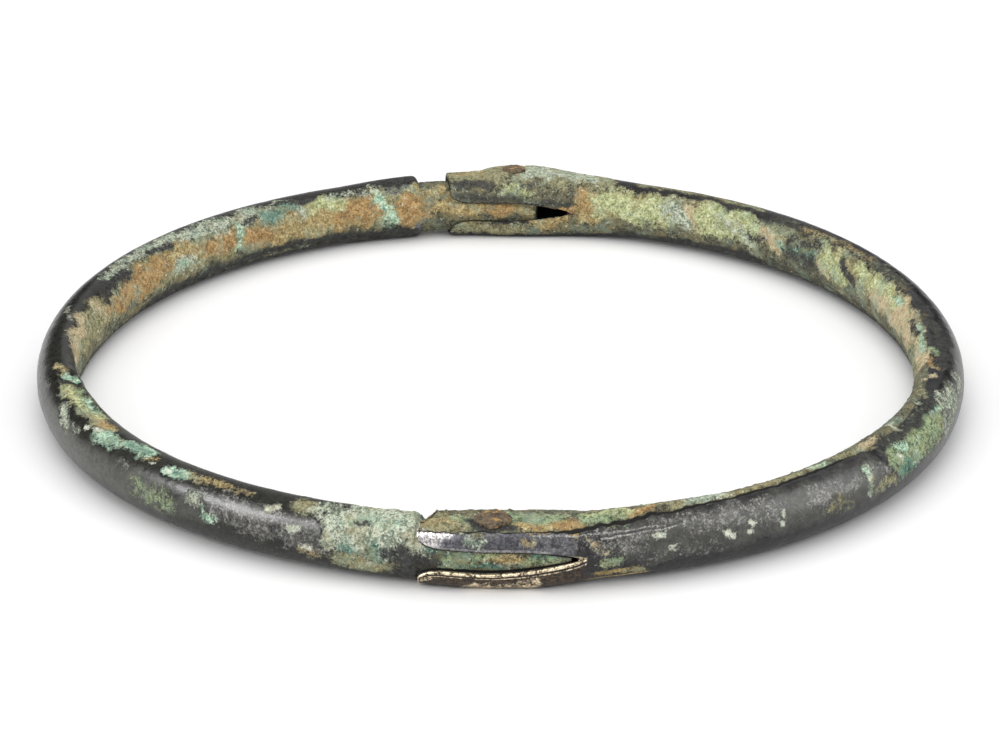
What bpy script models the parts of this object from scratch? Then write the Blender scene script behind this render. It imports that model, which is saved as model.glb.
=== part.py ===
"""Armlet of two bronze half rings that plug into each other at two joints, each held by an upright iron pin.

The ring lies flat. Z is up, the front joint is at -Y, the back joint at +Y, and z = 0 is the surface it lies on.
The plug half is at -X and the socket half at +X. A place is given by its plan angle, its distance outwards
from the centreline, and its height above the centreline's plane. A turn is an angle round the tube's section:
0 is outwards, a quarter turn is up.
"""
import math
from collections import namedtuple

import bmesh
import bpy

MM = 0.001

# The ring in plan
RING_RADIUS = 44.9 * MM
# Out-of-round shares of the ring's radius, as the old ring is bent: order, cosine share, sine share
PLAN_SHARES = ((2, 0.0, -0.0021), (3, -0.0039, -0.0040), (4, -0.0026, 0.0005))
JOINT_FLATTENING = 0.25 * MM
JOINT_FLAT_REACH = 6.0 * MM

# The tube
TUBE_HALF_WIDTH = 2.61 * MM
TUBE_HALF_HEIGHT = 3.2 * MM
# Shares by which the tube grows and shrinks round the ring: order, cosine share, sine share
THICKNESS_SHARES = ((1, -0.0055, 0.0123), (2, 0.0165, -0.0187))
# The inner face lies a little lower than the outer skin, between two edges
INNER_FACE_DEPTH = 0.14 * MM
INNER_FACE_LEDGE = 0.35 * MM
LOWER_EDGE_TURN = math.radians(-130)
PLUG_HALF_EDGE_TURN = math.radians(131)
# On the socket half the upper edge climbs from the petal's ridge to the inner side: plan angle, turn
SOCKET_EDGE = ((-102, 42), (-84, 44), (-68, 72), (-34, 80), (-16, 106), (4, 124), (102, 124))
# Beside that edge the crust stands proud, and it sinks to the inner face between two turns: plan angle, height
CRUST_BANK = ((-88, 0.0), (-84, 0.15 * MM), (-77, 0.5 * MM), (-69, 0.5 * MM), (-62, 0.32 * MM), (-38, 0.42 * MM),
              (-10, 0.0))
CRUST_BANK_FULL_TO = math.radians(128)
CRUST_BANK_END = math.radians(165)

# The plug and its play in the sleeve
PLUG_HALF_WIDTH = 2.35 * MM
PLUG_ABOVE = 2.7 * MM
PLUG_BELOW = 3.0 * MM
PLUG_SQUARENESS = 2.6
PLUG_LENGTH = 13.8 * MM
PLUG_PLAY = 0.10 * MM
PLUG_END_ROUNDING = 0.5 * MM
SHOULDER_GAP = 0.15 * MM
SHOULDER_ROUNDING = 0.6 * MM
SHOULDER_SWELL_REACH = 11.0 * MM
PANEL_WALL = 0.04 * MM
# Behind its shoulder the plug half takes the tube's form over this stretch
TUBE_FORM_FROM = 1.0 * MM
TUBE_FORM_FULL = 8.0 * MM

# The sleeve round the plug. Its worn flat underside is what the ring rests on.
SLEEVE_WALL = 0.45 * MM
SLEEVE_TOP_WALL = 0.28 * MM
SLEEVE_UNDER_WALL = 0.35 * MM
SLEEVE_CROWN = 0.18 * MM
SLEEVE_SQUARENESS = 3.0
MOUTH_CHAMFER = 0.12 * MM
BORE_END_GAP = 0.45 * MM
BORE_HALF_WIDTH = PLUG_HALF_WIDTH + PLUG_PLAY
BORE_ABOVE = PLUG_ABOVE + PLUG_PLAY
BORE_BELOW = PLUG_BELOW + PLUG_PLAY
SLEEVE_HALF_WIDTH = BORE_HALF_WIDTH + SLEEVE_WALL
SLEEVE_ABOVE = BORE_ABOVE + SLEEVE_TOP_WALL
REST_DEPTH = BORE_BELOW + SLEEVE_UNDER_WALL

# The pointed cut that parts the sleeve's two petals, and the plug's side panel that fills it
CUT_DEPTH = 14.8 * MM
CUT_HALF_HEIGHT = 1.12 * MM
CUT_MIDDLE = -0.12 * MM
CUT_SAG_AT = 6.3 * MM
CUT_SAG_REACH = 3.6 * MM
CUT_STRAIGHT = 6.3 * MM
CUT_TAPER_POWER = 2.0
CUT_TIP_HALF_HEIGHT = 0.03 * MM
PETAL_TIP_LENGTH = 2.3 * MM
PETAL_TIP_HEIGHT = 1.15 * MM
PANEL_PLAY = 0.10 * MM

# The iron pins
PIN_RADIUS = 0.9 * MM
PIN_PLAY = 0.06 * MM
PIN_FOOT_ABOVE_REST = 0.12 * MM
HEAD_SEAT_GAP = 0.05 * MM

# The notch worn across the top of the front joint, between shoulder and sleeve, deepest at the inner side
NOTCH_FLOOR = 2.25 * MM
NOTCH_FALL = 0.28
NOTCH_HALF_FLOOR = 0.34 * MM
NOTCH_RUN_LEFT = 0.55 * MM
NOTCH_RUN_RIGHT = 0.9 * MM
NOTCH_MIDDLE = 0.25 * MM
NOTCH_END = 2.0 * MM

# The broken recess on the plug half's upper inner side
RECESS_FROM = math.radians(193.8)
RECESS_TO = math.radians(208.8)
RECESS_EDGE_RUN = math.radians(0.9)
RECESS_TURN = math.radians(94)
RECESS_HALF_TURN = math.radians(23)
RECESS_TURN_RUN = math.radians(8)
RECESS_DEPTH = 0.42 * MM
# There the inner face is also pressed in
DENT_ANGLE = math.radians(185)
DENT_REACH = math.radians(13)
DENT_DEPTH = 0.92 * MM

# One joint: its centre in plan, the way its distances run (+1 is anticlockwise), and, as distances along the
# ring from its centre: the petals' tips, how far the plug has slipped out, where the sleeve is fullest and
# where its swelling has run out. mouth_share is how much of the swelling is left at the tips, mound how much
# higher the sleeve's top is, hump how much it rises beyond that at the pin, shoulder_swell how much the plug half
# thickens at its shoulder, and cut_sag how far the cut dips in the middle.
Joint = namedtuple("Joint", "place angle way mouth slip full_from full_to swell_end mouth_share mound hump "
                            "shoulder_swell cut_sag pin_at pin_out head_radius head_height")
FRONT = Joint(place="front", angle=-math.pi / 2, way=1, mouth=-7.5 * MM, slip=0.0, full_from=-2.5 * MM,
              full_to=2.0 * MM, swell_end=9.5 * MM, mouth_share=0.70, mound=0.0, hump=0.0,
              shoulder_swell=0.12 * MM, cut_sag=0.28 * MM, pin_at=-0.83 * MM, pin_out=0.7 * MM,
              head_radius=1.55 * MM, head_height=0.42 * MM)
BACK = Joint(place="back", angle=math.pi / 2, way=-1, mouth=-6.2 * MM, slip=3.3 * MM, full_from=1.5 * MM,
             full_to=3.0 * MM, swell_end=17.0 * MM, mouth_share=0.55, mound=0.6 * MM, hump=0.5 * MM,
             shoulder_swell=0.33 * MM, cut_sag=0.0, pin_at=1.4 * MM, pin_out=-0.1 * MM, head_radius=1.12 * MM,
             head_height=0.16 * MM)
JOINTS = (FRONT, BACK)
# Where a hump starts to rise, is full and has run out again, from the joint's centre. The pin's head sits on
# its full height.
HUMP = (-4.5 * MM, 0.2 * MM, 3.6 * MM, 8.5 * MM)

# How finely the faces are laid out
JOINT_STEP = 1.5 * MM
JOINT_STEP_REACH = 15.0 * MM
TUBE_STEP = 4.2 * MM
SIDE_POINTS = 5
CAP_POINTS = 7
SKIN_POINTS = 17
INNER_FACE_POINTS = 7
SKIN_START = 5
BORE_POINTS = 26
PIN_SIDES = 20


def smooth(value, low, high):
    """0 at low, 1 at high, with a soft start and end."""
    share = min(1.0, max(0.0, (value - low) / (high - low)))
    return share * share * (3.0 - 2.0 * share)


def blend(low, high, share):
    return low + (high - low) * share


def even(low, high, count):
    return [blend(low, high, i / (count - 1)) for i in range(count)]


def waves(angle, shares):
    return sum(c * math.cos(n * angle) + s * math.sin(n * angle) for n, c, s in shares)


def along(joint, angle):
    """Distance along the ring from a joint's centre."""
    return joint.way * math.remainder(angle - joint.angle, 2.0 * math.pi) * RING_RADIUS


def angle_at(joint, distance):
    return joint.angle + joint.way * distance / RING_RADIUS


def nearest_joint(angle):
    return min(JOINTS, key=lambda joint: abs(along(joint, angle)))


def shoulder_at(joint):
    """Where the full tube ends and the plug starts."""
    return joint.mouth - SHOULDER_GAP - joint.slip


def facet_height(joint, distance):
    """The worn top of a sleeve, at a distance from the joint's centre."""
    rise = smooth(distance, HUMP[0], HUMP[1]) * (1.0 - smooth(distance, HUMP[2], HUMP[3]))
    return SLEEVE_ABOVE + joint.mound + joint.hump * rise


def plan_radius(angle):
    """The centreline's radius: a circle, a little out of round and flatter at the joints."""
    radius = RING_RADIUS * (1.0 + waves(angle, PLAN_SHARES))
    for joint in JOINTS:
        share = (along(joint, angle) / JOINT_FLAT_REACH) ** 2
        radius -= JOINT_FLATTENING * (1.0 - share) * math.exp(-share / 2.0)
    return radius


def tube_size(angle):
    grown = 1.0 + waves(angle, THICKNESS_SHARES)
    return TUBE_HALF_WIDTH * grown, TUBE_HALF_HEIGHT * grown


def oval(turn, half_width, above, below, squareness):
    """A point of a rounded section."""
    c, s = math.cos(turn), math.sin(turn)
    out = half_width * math.copysign(abs(c) ** (2.0 / squareness), c)
    up = (above if s > 0 else below) * math.copysign(abs(s) ** (2.0 / squareness), s)
    return out, up


def inwards(point, depth):
    """A section's point moved towards the section's middle."""
    length = math.hypot(*point)
    return point[0] * (1.0 - depth / length), point[1] * (1.0 - depth / length)


def swelling(joint, distance):
    """How much of the sleeve's full size the socket half has at a distance from the joint's centre."""
    rise = blend(joint.mouth_share, 1.0, smooth(distance, joint.mouth, joint.full_from))
    return rise * (1.0 - smooth(distance, joint.full_to, joint.swell_end))


def cut_half_height(depth):
    """Half the height of the cut between the petals, at a depth from their tips."""
    if depth < PETAL_TIP_LENGTH:
        share = 1.0 - max(0.0, depth) / PETAL_TIP_LENGTH
        return CUT_HALF_HEIGHT + PETAL_TIP_HEIGHT * (1.0 - math.sqrt(1.0 - share * share))
    taper = max(0.0, (depth - CUT_STRAIGHT) / (CUT_DEPTH - CUT_STRAIGHT))
    return max(CUT_TIP_HALF_HEIGHT, CUT_HALF_HEIGHT * (1.0 - taper ** CUT_TAPER_POWER))


def cut_middle(joint, depth):
    """The height of the cut's middle, at a depth from the petals' tips."""
    return CUT_MIDDLE - joint.cut_sag * math.exp(-((depth - CUT_SAG_AT) / CUT_SAG_REACH) ** 2)


def recess_depth(angle, turn):
    """The broken recess, steep at its two ends and softer along its sides."""
    angle = angle % (2.0 * math.pi)
    from_start = smooth(angle, RECESS_FROM, RECESS_FROM + RECESS_EDGE_RUN)
    to_end = 1.0 - smooth(angle, RECESS_TO - RECESS_EDGE_RUN, RECESS_TO)
    across = 1.0 - smooth(abs(turn - RECESS_TURN), RECESS_HALF_TURN - RECESS_TURN_RUN, RECESS_HALF_TURN)
    return RECESS_DEPTH * from_start * to_end * across


def dent(angle, turn):
    """How far the inner face is pressed in."""
    off = math.remainder(angle - DENT_ANGLE, 2.0 * math.pi) / DENT_REACH
    return DENT_DEPTH * math.exp(-off * off) * max(0.0, -math.cos(turn)) ** 1.5


def socket_edge(angle):
    """The turn at which the socket half's outer skin ends."""
    for (start, low), (end, high) in zip(SOCKET_EDGE, SOCKET_EDGE[1:]):
        if math.degrees(angle) <= end:
            return math.radians(blend(low, high, smooth(math.degrees(angle), start, end)))
    return math.radians(SOCKET_EDGE[-1][1])


def skin_turns(upper_edge, ledge_turn):
    """Turns round a section: the outer skin, then the inner face between its two edges."""
    skin = even(LOWER_EDGE_TURN, upper_edge, SKIN_POINTS)
    face = even(upper_edge + ledge_turn, LOWER_EDGE_TURN + 2.0 * math.pi - ledge_turn, INNER_FACE_POINTS)
    return skin, face


def crust_bank(angle, turn):
    """How far the crust stands proud on the socket half's inner face."""
    degrees, height = math.degrees(angle), 0.0
    for (start, low), (end, high) in zip(CRUST_BANK, CRUST_BANK[1:]):
        if start <= degrees <= end:
            height = blend(low, high, (degrees - start) / (end - start))
    return height * (1.0 - smooth(turn, CRUST_BANK_FULL_TO, CRUST_BANK_END))


def socket_section(angle, chamfer):
    """The socket half's outside."""
    joint = nearest_joint(angle)
    share = swelling(joint, along(joint, angle))
    top = facet_height(joint, along(joint, angle))
    width, height = tube_size(angle)
    width = blend(width, SLEEVE_HALF_WIDTH, share)
    above = blend(height, top + SLEEVE_CROWN, share)
    below = blend(height, REST_DEPTH + SLEEVE_CROWN, share)
    squareness = blend(2.0, SLEEVE_SQUARENESS, share)
    skin, face = skin_turns(socket_edge(angle), INNER_FACE_LEDGE / height)
    depth = INNER_FACE_DEPTH * (1.0 - smooth(share, 0.0, 0.5))
    points = [inwards(oval(t, width, above, below, squareness), chamfer) for t in skin]
    points += [inwards(oval(t, width, above, below, squareness), chamfer + depth) for t in face]
    points = [(out, max(chamfer - REST_DEPTH, min(top - chamfer, up))) for out, up in points]
    return points[:len(skin)] + [inwards(point, -crust_bank(angle, t)) for t, point in zip(face, points[len(skin):])]


def plug_turns(low, high, wall):
    """Turns round the plug: outer panel, top, inner panel, underside. low and high are the panel's edges."""
    turns = even(low, high, SIDE_POINTS)
    turns += even(high + wall, math.pi - high - wall, CAP_POINTS)
    turns += even(math.pi - high, math.pi - low, SIDE_POINTS)
    turns += even(math.pi - low + wall, 2.0 * math.pi + low - wall, CAP_POINTS)
    return turns


def plug_half_section(angle):
    """The plug half: the full tube to its shoulder, then the smaller plug with its two side panels."""
    joint = nearest_joint(angle)
    distance = along(joint, angle)
    shoulder = shoulder_at(joint)
    width, height = tube_size(angle)
    swell = joint.shoulder_swell * (1.0 - smooth(shoulder - distance, 0.0, SHOULDER_SWELL_REACH))
    past = (distance - shoulder + SHOULDER_ROUNDING) / SHOULDER_ROUNDING
    full = math.sqrt(max(0.0, 1.0 - past * past)) if past > 0.0 else 1.0
    near_end = max(0.0, 1.0 - (shoulder + PLUG_LENGTH - distance) / PLUG_END_ROUNDING)
    end_inset = PLUG_END_ROUNDING * (1.0 - math.sqrt(max(0.0, 1.0 - near_end * near_end)))
    cap_width = blend(PLUG_HALF_WIDTH, width + swell, full) - end_inset
    cap_above = blend(PLUG_ABOVE, height + swell, full) - end_inset
    cap_below = blend(PLUG_BELOW, height + swell, full) - end_inset
    cap_squareness = blend(PLUG_SQUARENESS, 2.0, full)
    side_width = width + swell * full - end_inset
    side_height = height + swell * full
    depth = distance - joint.mouth + joint.slip
    panel = max(CUT_TIP_HALF_HEIGHT, cut_half_height(depth) - PANEL_PLAY)
    low, high = (math.asin((cut_middle(joint, depth) + way * panel) / side_height) for way in (-1, 1))
    on_plug = plug_turns(low, high, PANEL_WALL / height)
    skin, face = skin_turns(PLUG_HALF_EDGE_TURN, INNER_FACE_LEDGE / height)
    on_tube = skin[SKIN_START:] + face + [turn + 2.0 * math.pi for turn in skin[:SKIN_START]]
    in_face = range(SKIN_POINTS - SKIN_START, SKIN_POINTS - SKIN_START + INNER_FACE_POINTS)
    tube_share = smooth(shoulder - distance, TUBE_FORM_FROM, TUBE_FORM_FULL)
    points = []
    for i, turns in enumerate(zip(on_plug, on_tube)):
        turn = blend(*turns, tube_share)
        if i % (SIDE_POINTS + CAP_POINTS) < SIDE_POINTS:
            point = oval(turn, side_width, side_height, side_height, 2.0)
        else:
            point = oval(turn, cap_width, cap_above, cap_below, cap_squareness)
        depth = INNER_FACE_DEPTH * tube_share if i in in_face else recess_depth(angle, turn)
        out, up = inwards(point, depth)
        points.append((out + dent(angle, turn), max(-REST_DEPTH, up)))
    return points


def stops(start, end, extra=()):
    """Plan angles from start to end, close together near a joint."""
    angles = [start]
    while angles[-1] < end:
        reach = min(abs(along(joint, angles[-1])) for joint in JOINTS)
        step = JOINT_STEP if reach < JOINT_STEP_REACH else TUBE_STEP
        angles.append(angles[-1] + step / RING_RADIUS)
    angles[-1] = end
    closest = 0.25 * JOINT_STEP / RING_RADIUS
    kept = [angle for angle in angles[1:-1] if all(abs(angle - other) > closest for other in (start, end, *extra))]
    return sorted({start, end} | set(kept) | {angle for angle in extra if start < angle < end})


def solid(name, rings):
    """A closed body from rings of places, each with the same number of them, from one end to the other."""
    mesh = bpy.data.meshes.new(name)
    bm = bmesh.new()
    rings = [[bm.verts.new(place) for place in ring] for ring in rings]
    count = len(rings[0])
    for one, two in zip(rings, rings[1:]):
        for i in range(count):
            j = (i + 1) % count
            bm.faces.new((one[i], two[i], two[j], one[j]))
    bm.faces.new(rings[0])
    bm.faces.new(reversed(rings[-1]))
    bmesh.ops.recalc_face_normals(bm, faces=bm.faces)
    bm.to_mesh(mesh)
    bm.free()
    body = bpy.data.objects.new(name, mesh)
    bpy.context.collection.objects.link(body)
    return body


def place_at(angle, out, up):
    radius = plan_radius(angle) + out
    return radius * math.cos(angle), radius * math.sin(angle), REST_DEPTH + up


def swept(name, angles, section):
    """A body swept round the ring. section(angle) gives the same number of points at every angle."""
    return solid(name, [[place_at(angle, *point) for point in section(angle)] for angle in angles])


def turned(name, centre, profile, lump=0.0):
    """A body of rings round an upright axis, from the foot up: radius, height, share of the lump."""
    rings = []
    for radius, height, rough in profile:
        ring = []
        for i in range(PIN_SIDES):
            a = 2.0 * math.pi * i / PIN_SIDES
            r = radius * (1.0 + rough * lump * (math.cos(2.0 * a) + 0.4 * math.cos(3.0 * a + 0.5)))
            ring.append((centre[0] + r * math.cos(a), centre[1] + r * math.sin(a), height))
        rings.append(ring)
    return solid(name, rings)


def cut_away(body, cutter):
    """Cuts the cutter out of the body. The cutter stays as a hidden guide."""
    cutter.hide_render = True
    cutter.hide_set(True)
    cutter.display_type = "WIRE"
    cut = body.modifiers.new("cut " + cutter.name, "BOOLEAN")
    cut.operation = "DIFFERENCE"
    cut.solver = "EXACT"
    cut.object = cutter


def pin_centre(joint):
    angle = angle_at(joint, joint.pin_at)
    radius = plan_radius(angle) + joint.pin_out
    return radius * math.cos(angle), radius * math.sin(angle)


def pin_hole(name, joint):
    """The hole that a pin passes through, longer than the sleeve is high."""
    radius = PIN_RADIUS + PIN_PLAY
    top = REST_DEPTH + facet_height(joint, joint.pin_at) + 1.0 * MM
    return turned(name, pin_centre(joint), ((radius, -1.0 * MM, 0.0), (radius, top, 0.0)))


def sleeve_bore(name, joint):
    """The hollow of a sleeve, open at its mouth and a little deeper than the plug when it is home."""
    ends = [joint.mouth - 1.0 * MM, joint.mouth - SHOULDER_GAP + PLUG_LENGTH + BORE_END_GAP]

    def section(angle):
        turns = (2.0 * math.pi * i / BORE_POINTS for i in range(BORE_POINTS))
        return [oval(t, BORE_HALF_WIDTH, BORE_ABOVE, BORE_BELOW, PLUG_SQUARENESS) for t in turns]

    return swept(name, stops(*sorted(angle_at(joint, end) for end in ends)), section)


def petal_cut(name, joint, side):
    """The pointed cut in a sleeve's outer (side 1) or inner (side -1) wall."""
    start = side * 0.4 * BORE_HALF_WIDTH
    end = side * (SLEEVE_HALF_WIDTH + 1.5 * MM)
    tip = joint.mouth + CUT_DEPTH

    def section(angle):
        depth = along(joint, angle) - joint.mouth
        low, high = (cut_middle(joint, depth) + way * cut_half_height(depth) for way in (-1, 1))
        return [(start, low), (end, low), (end, high), (start, high)]

    bends = [joint.mouth - 1.0 * MM]
    bends += [joint.mouth + PETAL_TIP_LENGTH * share for share in (0.0, 0.04, 0.15, 0.35, 0.65, 1.0)]
    bends += [joint.mouth + blend(PETAL_TIP_LENGTH, CUT_STRAIGHT, share) for share in (0.33, 0.67)]
    bends += [tip - (CUT_DEPTH - CUT_STRAIGHT) * share for share in (1.0, 0.85, 0.7, 0.5, 0.33, 0.2, 0.08, 0.0)]
    return swept(name, sorted(angle_at(joint, bend) for bend in bends), section)


def notch(name):
    """A wedge across the front joint's top, which shrinks to nothing on the outer side."""
    middle = FRONT.mouth + NOTCH_MIDDLE
    clear = SLEEVE_ABOVE + 0.8 * MM
    rise = (clear - NOTCH_FLOOR) / (SLEEVE_ABOVE - NOTCH_FLOOR)
    rings = []
    for out, share in ((-SLEEVE_HALF_WIDTH - 1.0 * MM, 1.0), (0.0, 0.9), (NOTCH_END, 0.2)):
        floor = blend(SLEEVE_ABOVE, NOTCH_FLOOR + NOTCH_FALL * out, share)
        left = middle - share * (NOTCH_HALF_FLOOR + NOTCH_RUN_LEFT * rise)
        right = middle + share * (NOTCH_HALF_FLOOR + NOTCH_RUN_RIGHT * rise)
        wedge = ((left, clear), (middle - share * NOTCH_HALF_FLOOR, floor),
                 (middle + share * NOTCH_HALF_FLOOR, floor), (right, clear))
        rings.append([place_at(angle_at(FRONT, at), out, up) for at, up in wedge])
    return solid(name, rings)


def make_socket_half(bronze):
    start = angle_at(FRONT, FRONT.mouth)
    end = angle_at(BACK, BACK.mouth)
    lip = 1.3 * MOUTH_CHAMFER / RING_RADIUS
    angles = stops(start, end, (start + lip, end - lip))
    half = swept("socket_half", angles,
                 lambda angle: socket_section(angle, MOUTH_CHAMFER if angle in (start, end) else 0.0))
    for joint in JOINTS:
        cut_away(half, sleeve_bore(joint.place + " bore", joint))
        cut_away(half, petal_cut(joint.place + " outer cut", joint, 1))
        cut_away(half, petal_cut(joint.place + " inner cut", joint, -1))
        cut_away(half, pin_hole(joint.place + " sleeve hole", joint))
    cut_away(half, notch("notch in the sleeve"))
    half.data.materials.append(bronze)
    return half


def plug_stops(joint):
    """Plan angles where the plug's form turns quickly: its shoulder, its panels' roots and its end."""
    shoulder = shoulder_at(joint)
    end = shoulder + PLUG_LENGTH
    places = [shoulder - SHOULDER_ROUNDING * share for share in (0.0, 0.12, 0.4, 0.7, 1.0)]
    places += [shoulder + SHOULDER_GAP + PETAL_TIP_LENGTH * share for share in (0.0, 0.05, 0.16, 0.36, 0.66, 1.0)]
    places += [end - PLUG_END_ROUNDING * share for share in (0.3, 1.0)]
    return [angle_at(joint, place) for place in places]


def make_plug_half(bronze):
    """One body: a plug at each end, and the tube between them."""
    full_turn = 2.0 * math.pi
    start = angle_at(BACK, shoulder_at(BACK) + PLUG_LENGTH)
    end = angle_at(FRONT, shoulder_at(FRONT) + PLUG_LENGTH) + full_turn
    extra = plug_stops(BACK) + [angle + full_turn for angle in plug_stops(FRONT)]
    extra += [RECESS_FROM, RECESS_FROM + RECESS_EDGE_RUN, RECESS_TO - RECESS_EDGE_RUN, RECESS_TO]
    half = swept("plug_half", stops(start, end, extra), plug_half_section)
    for joint in JOINTS:
        cut_away(half, pin_hole(joint.place + " plug hole", joint))
    cut_away(half, notch("notch in the plug half"))
    half.data.materials.append(bronze)
    return half


def make_pin(name, joint, iron, lump):
    """A pin from just above the rest plane, with a low, uneven head on the sleeve's top."""
    seat = REST_DEPTH + facet_height(joint, joint.pin_at) + HEAD_SEAT_GAP
    rim = 0.35 * joint.head_height
    profile = [(PIN_RADIUS * 0.8, PIN_FOOT_ABOVE_REST, 0.0), (PIN_RADIUS, PIN_FOOT_ABOVE_REST + 0.15 * MM, 0.0),
               (PIN_RADIUS, seat, 0.0), (joint.head_radius * 0.93, seat, 1.0), (joint.head_radius, seat + rim, 1.0)]
    for share in (0.8, 0.5, 0.2):
        rise = rim + (joint.head_height - rim) * math.sqrt(1.0 - share * share)
        profile.append((joint.head_radius * share, seat + rise, 1.0))
    pin = turned(name, pin_centre(joint), profile, lump)
    pin.data.materials.append(iron)
    return pin


def metal(name, colour, roughness, metallic):
    material = bpy.data.materials.new(name)
    material.use_nodes = True
    shader = material.node_tree.nodes["Principled BSDF"]
    shader.inputs["Base Color"].default_value = (*colour, 1.0)
    shader.inputs["Roughness"].default_value = roughness
    shader.inputs["Metallic"].default_value = metallic
    return material


def main():
    for old in list(bpy.data.objects):
        bpy.data.objects.remove(old, do_unlink=True)
    green_bronze = metal("green bronze", (0.105, 0.125, 0.10), 0.55, 0.55)
    dark_bronze = metal("dark bronze", (0.075, 0.075, 0.075), 0.42, 0.75)
    rusty_iron = metal("rusty iron", (0.20, 0.10, 0.04), 0.85, 0.1)
    bodies = [
        make_plug_half(green_bronze),
        make_socket_half(dark_bronze),
        make_pin("iron_pin_front", FRONT, rusty_iron, 0.04),
        make_pin("iron_pin_back", BACK, rusty_iron, 0.05),
    ]
    for body in bodies:
        body.data.shade_smooth()
        body.data.set_sharp_from_angle(angle=math.radians(35))


main()
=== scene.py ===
"""Looks of a bronze armlet: two half rings that plug into each other, each joint held by an upright iron pin.

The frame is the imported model's: metres, Z up, front joint at -Y, back joint at +Y, lying on z = 0.
A place on the ring is its plan angle and its turn round the tube's section: 0 is outwards, a quarter is up.
Each half is first laid out straight, as distance along, outwards and upwards, and then bent round the ring.
"""

import math
from collections import namedtuple
from math import pi, radians, tau

import bmesh
import bpy
import numpy as np
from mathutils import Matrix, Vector


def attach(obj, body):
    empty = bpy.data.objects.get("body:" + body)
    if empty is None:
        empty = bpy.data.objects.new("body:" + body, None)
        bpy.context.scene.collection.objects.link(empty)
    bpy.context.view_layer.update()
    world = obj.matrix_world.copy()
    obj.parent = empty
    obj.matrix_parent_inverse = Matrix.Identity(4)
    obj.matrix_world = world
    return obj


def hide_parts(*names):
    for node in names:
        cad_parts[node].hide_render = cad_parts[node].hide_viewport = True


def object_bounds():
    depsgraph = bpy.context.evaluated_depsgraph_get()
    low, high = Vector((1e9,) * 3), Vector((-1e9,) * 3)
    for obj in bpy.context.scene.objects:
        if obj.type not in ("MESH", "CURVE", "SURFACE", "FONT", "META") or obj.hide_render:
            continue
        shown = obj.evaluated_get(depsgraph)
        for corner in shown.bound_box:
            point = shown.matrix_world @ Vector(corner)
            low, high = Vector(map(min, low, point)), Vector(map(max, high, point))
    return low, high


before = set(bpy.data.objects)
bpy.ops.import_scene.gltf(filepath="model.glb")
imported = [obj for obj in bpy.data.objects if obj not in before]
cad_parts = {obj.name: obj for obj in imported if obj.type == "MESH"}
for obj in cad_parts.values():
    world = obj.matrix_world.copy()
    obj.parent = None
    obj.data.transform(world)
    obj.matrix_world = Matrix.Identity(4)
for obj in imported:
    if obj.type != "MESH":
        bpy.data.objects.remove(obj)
cad_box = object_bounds()

MM = 0.001

# The ring, the tube, the plug and the sleeve, as the solids have them
RING_RADIUS = 44.9 * MM
PLAN_SHARES = ((2, 0.0, -0.0021), (3, -0.0039, -0.0040), (4, -0.0026, 0.0005))
JOINT_FLATTENING = 0.25 * MM
JOINT_FLAT_REACH = 6.0 * MM
TUBE_HALF_WIDTH = 2.61 * MM
TUBE_HALF_HEIGHT = 3.2 * MM
SECTION_RADIUS = 2.95 * MM
THICKNESS_SHARES = ((1, -0.0055, 0.0123), (2, 0.0165, -0.0187))
INNER_FACE_DEPTH = 0.14 * MM
INNER_FACE_LEDGE = 0.12 * MM
LOWER_EDGE_TURN = radians(-130)
PLUG_HALF_EDGE_TURN = radians(131)
SOCKET_EDGE = ((-102, 42), (-83, 43), (-79, 53), (-74, 64), (-69, 72), (-60, 79), (-48, 85), (-34, 87),
               (-16, 106), (4, 124), (102, 124))
CRUST_BANK = ((-88, 0.0), (-84, 0.15 * MM), (-77, 0.5 * MM), (-69, 0.5 * MM), (-62, 0.32 * MM),
              (-38, 0.42 * MM), (-10, 0.0))
CRUST_BANK_FULL_TO = radians(128)
CRUST_BANK_END = radians(165)
HUMP = (-4.5 * MM, 0.2 * MM, 3.6 * MM, 8.5 * MM)
PLUG_HALF_WIDTH = 2.35 * MM
PLUG_ABOVE = 2.7 * MM
PLUG_BELOW = 3.0 * MM
PLUG_SQUARENESS = 2.6
PLUG_LENGTH = 13.8 * MM
PLUG_PLAY = 0.10 * MM
PLUG_END_ROUNDING = 0.5 * MM
SHOULDER_GAP = 0.15 * MM
SHOULDER_ROUNDING = 0.6 * MM
SHOULDER_SWELL_REACH = 11.0 * MM
PANEL_WALL = 0.04 * MM
PANEL_PLAY = 0.10 * MM
TUBE_FORM_FROM = 1.0 * MM
TUBE_FORM_FULL = 8.0 * MM
SLEEVE_WALL = 0.45 * MM
SLEEVE_TOP_WALL = 0.28 * MM
SLEEVE_UNDER_WALL = 0.35 * MM
SLEEVE_CROWN = 0.18 * MM
SLEEVE_SQUARENESS = 3.0
MOUTH_ROUNDING = 0.16 * MM
MOUTH_INSET = 0.11 * MM
BORE_END_GAP = 0.45 * MM
BORE_DEPTH = PLUG_LENGTH - SHOULDER_GAP + BORE_END_GAP
BORE_HALF_WIDTH = PLUG_HALF_WIDTH + PLUG_PLAY
BORE_ABOVE = PLUG_ABOVE + PLUG_PLAY
BORE_BELOW = PLUG_BELOW + PLUG_PLAY
BORE = (BORE_HALF_WIDTH, BORE_ABOVE, BORE_BELOW, PLUG_SQUARENESS)
SLEEVE_HALF_WIDTH = BORE_HALF_WIDTH + SLEEVE_WALL
SLEEVE_ABOVE = BORE_ABOVE + SLEEVE_TOP_WALL
REST_DEPTH = BORE_BELOW + SLEEVE_UNDER_WALL
CUT_DEPTH = 14.8 * MM
CUT_HALF_HEIGHT = 1.12 * MM
CUT_MIDDLE = -0.12 * MM
CUT_SAG_AT = 6.3 * MM
CUT_SAG_REACH = 3.6 * MM
CUT_STRAIGHT = 6.3 * MM
CUT_TAPER_POWER = 2.0
PETAL_TIP_LENGTH = 2.3 * MM
PETAL_TIP_HEIGHT = 1.15 * MM
PETAL_LIP_ROUNDING = 0.16 * MM
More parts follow.
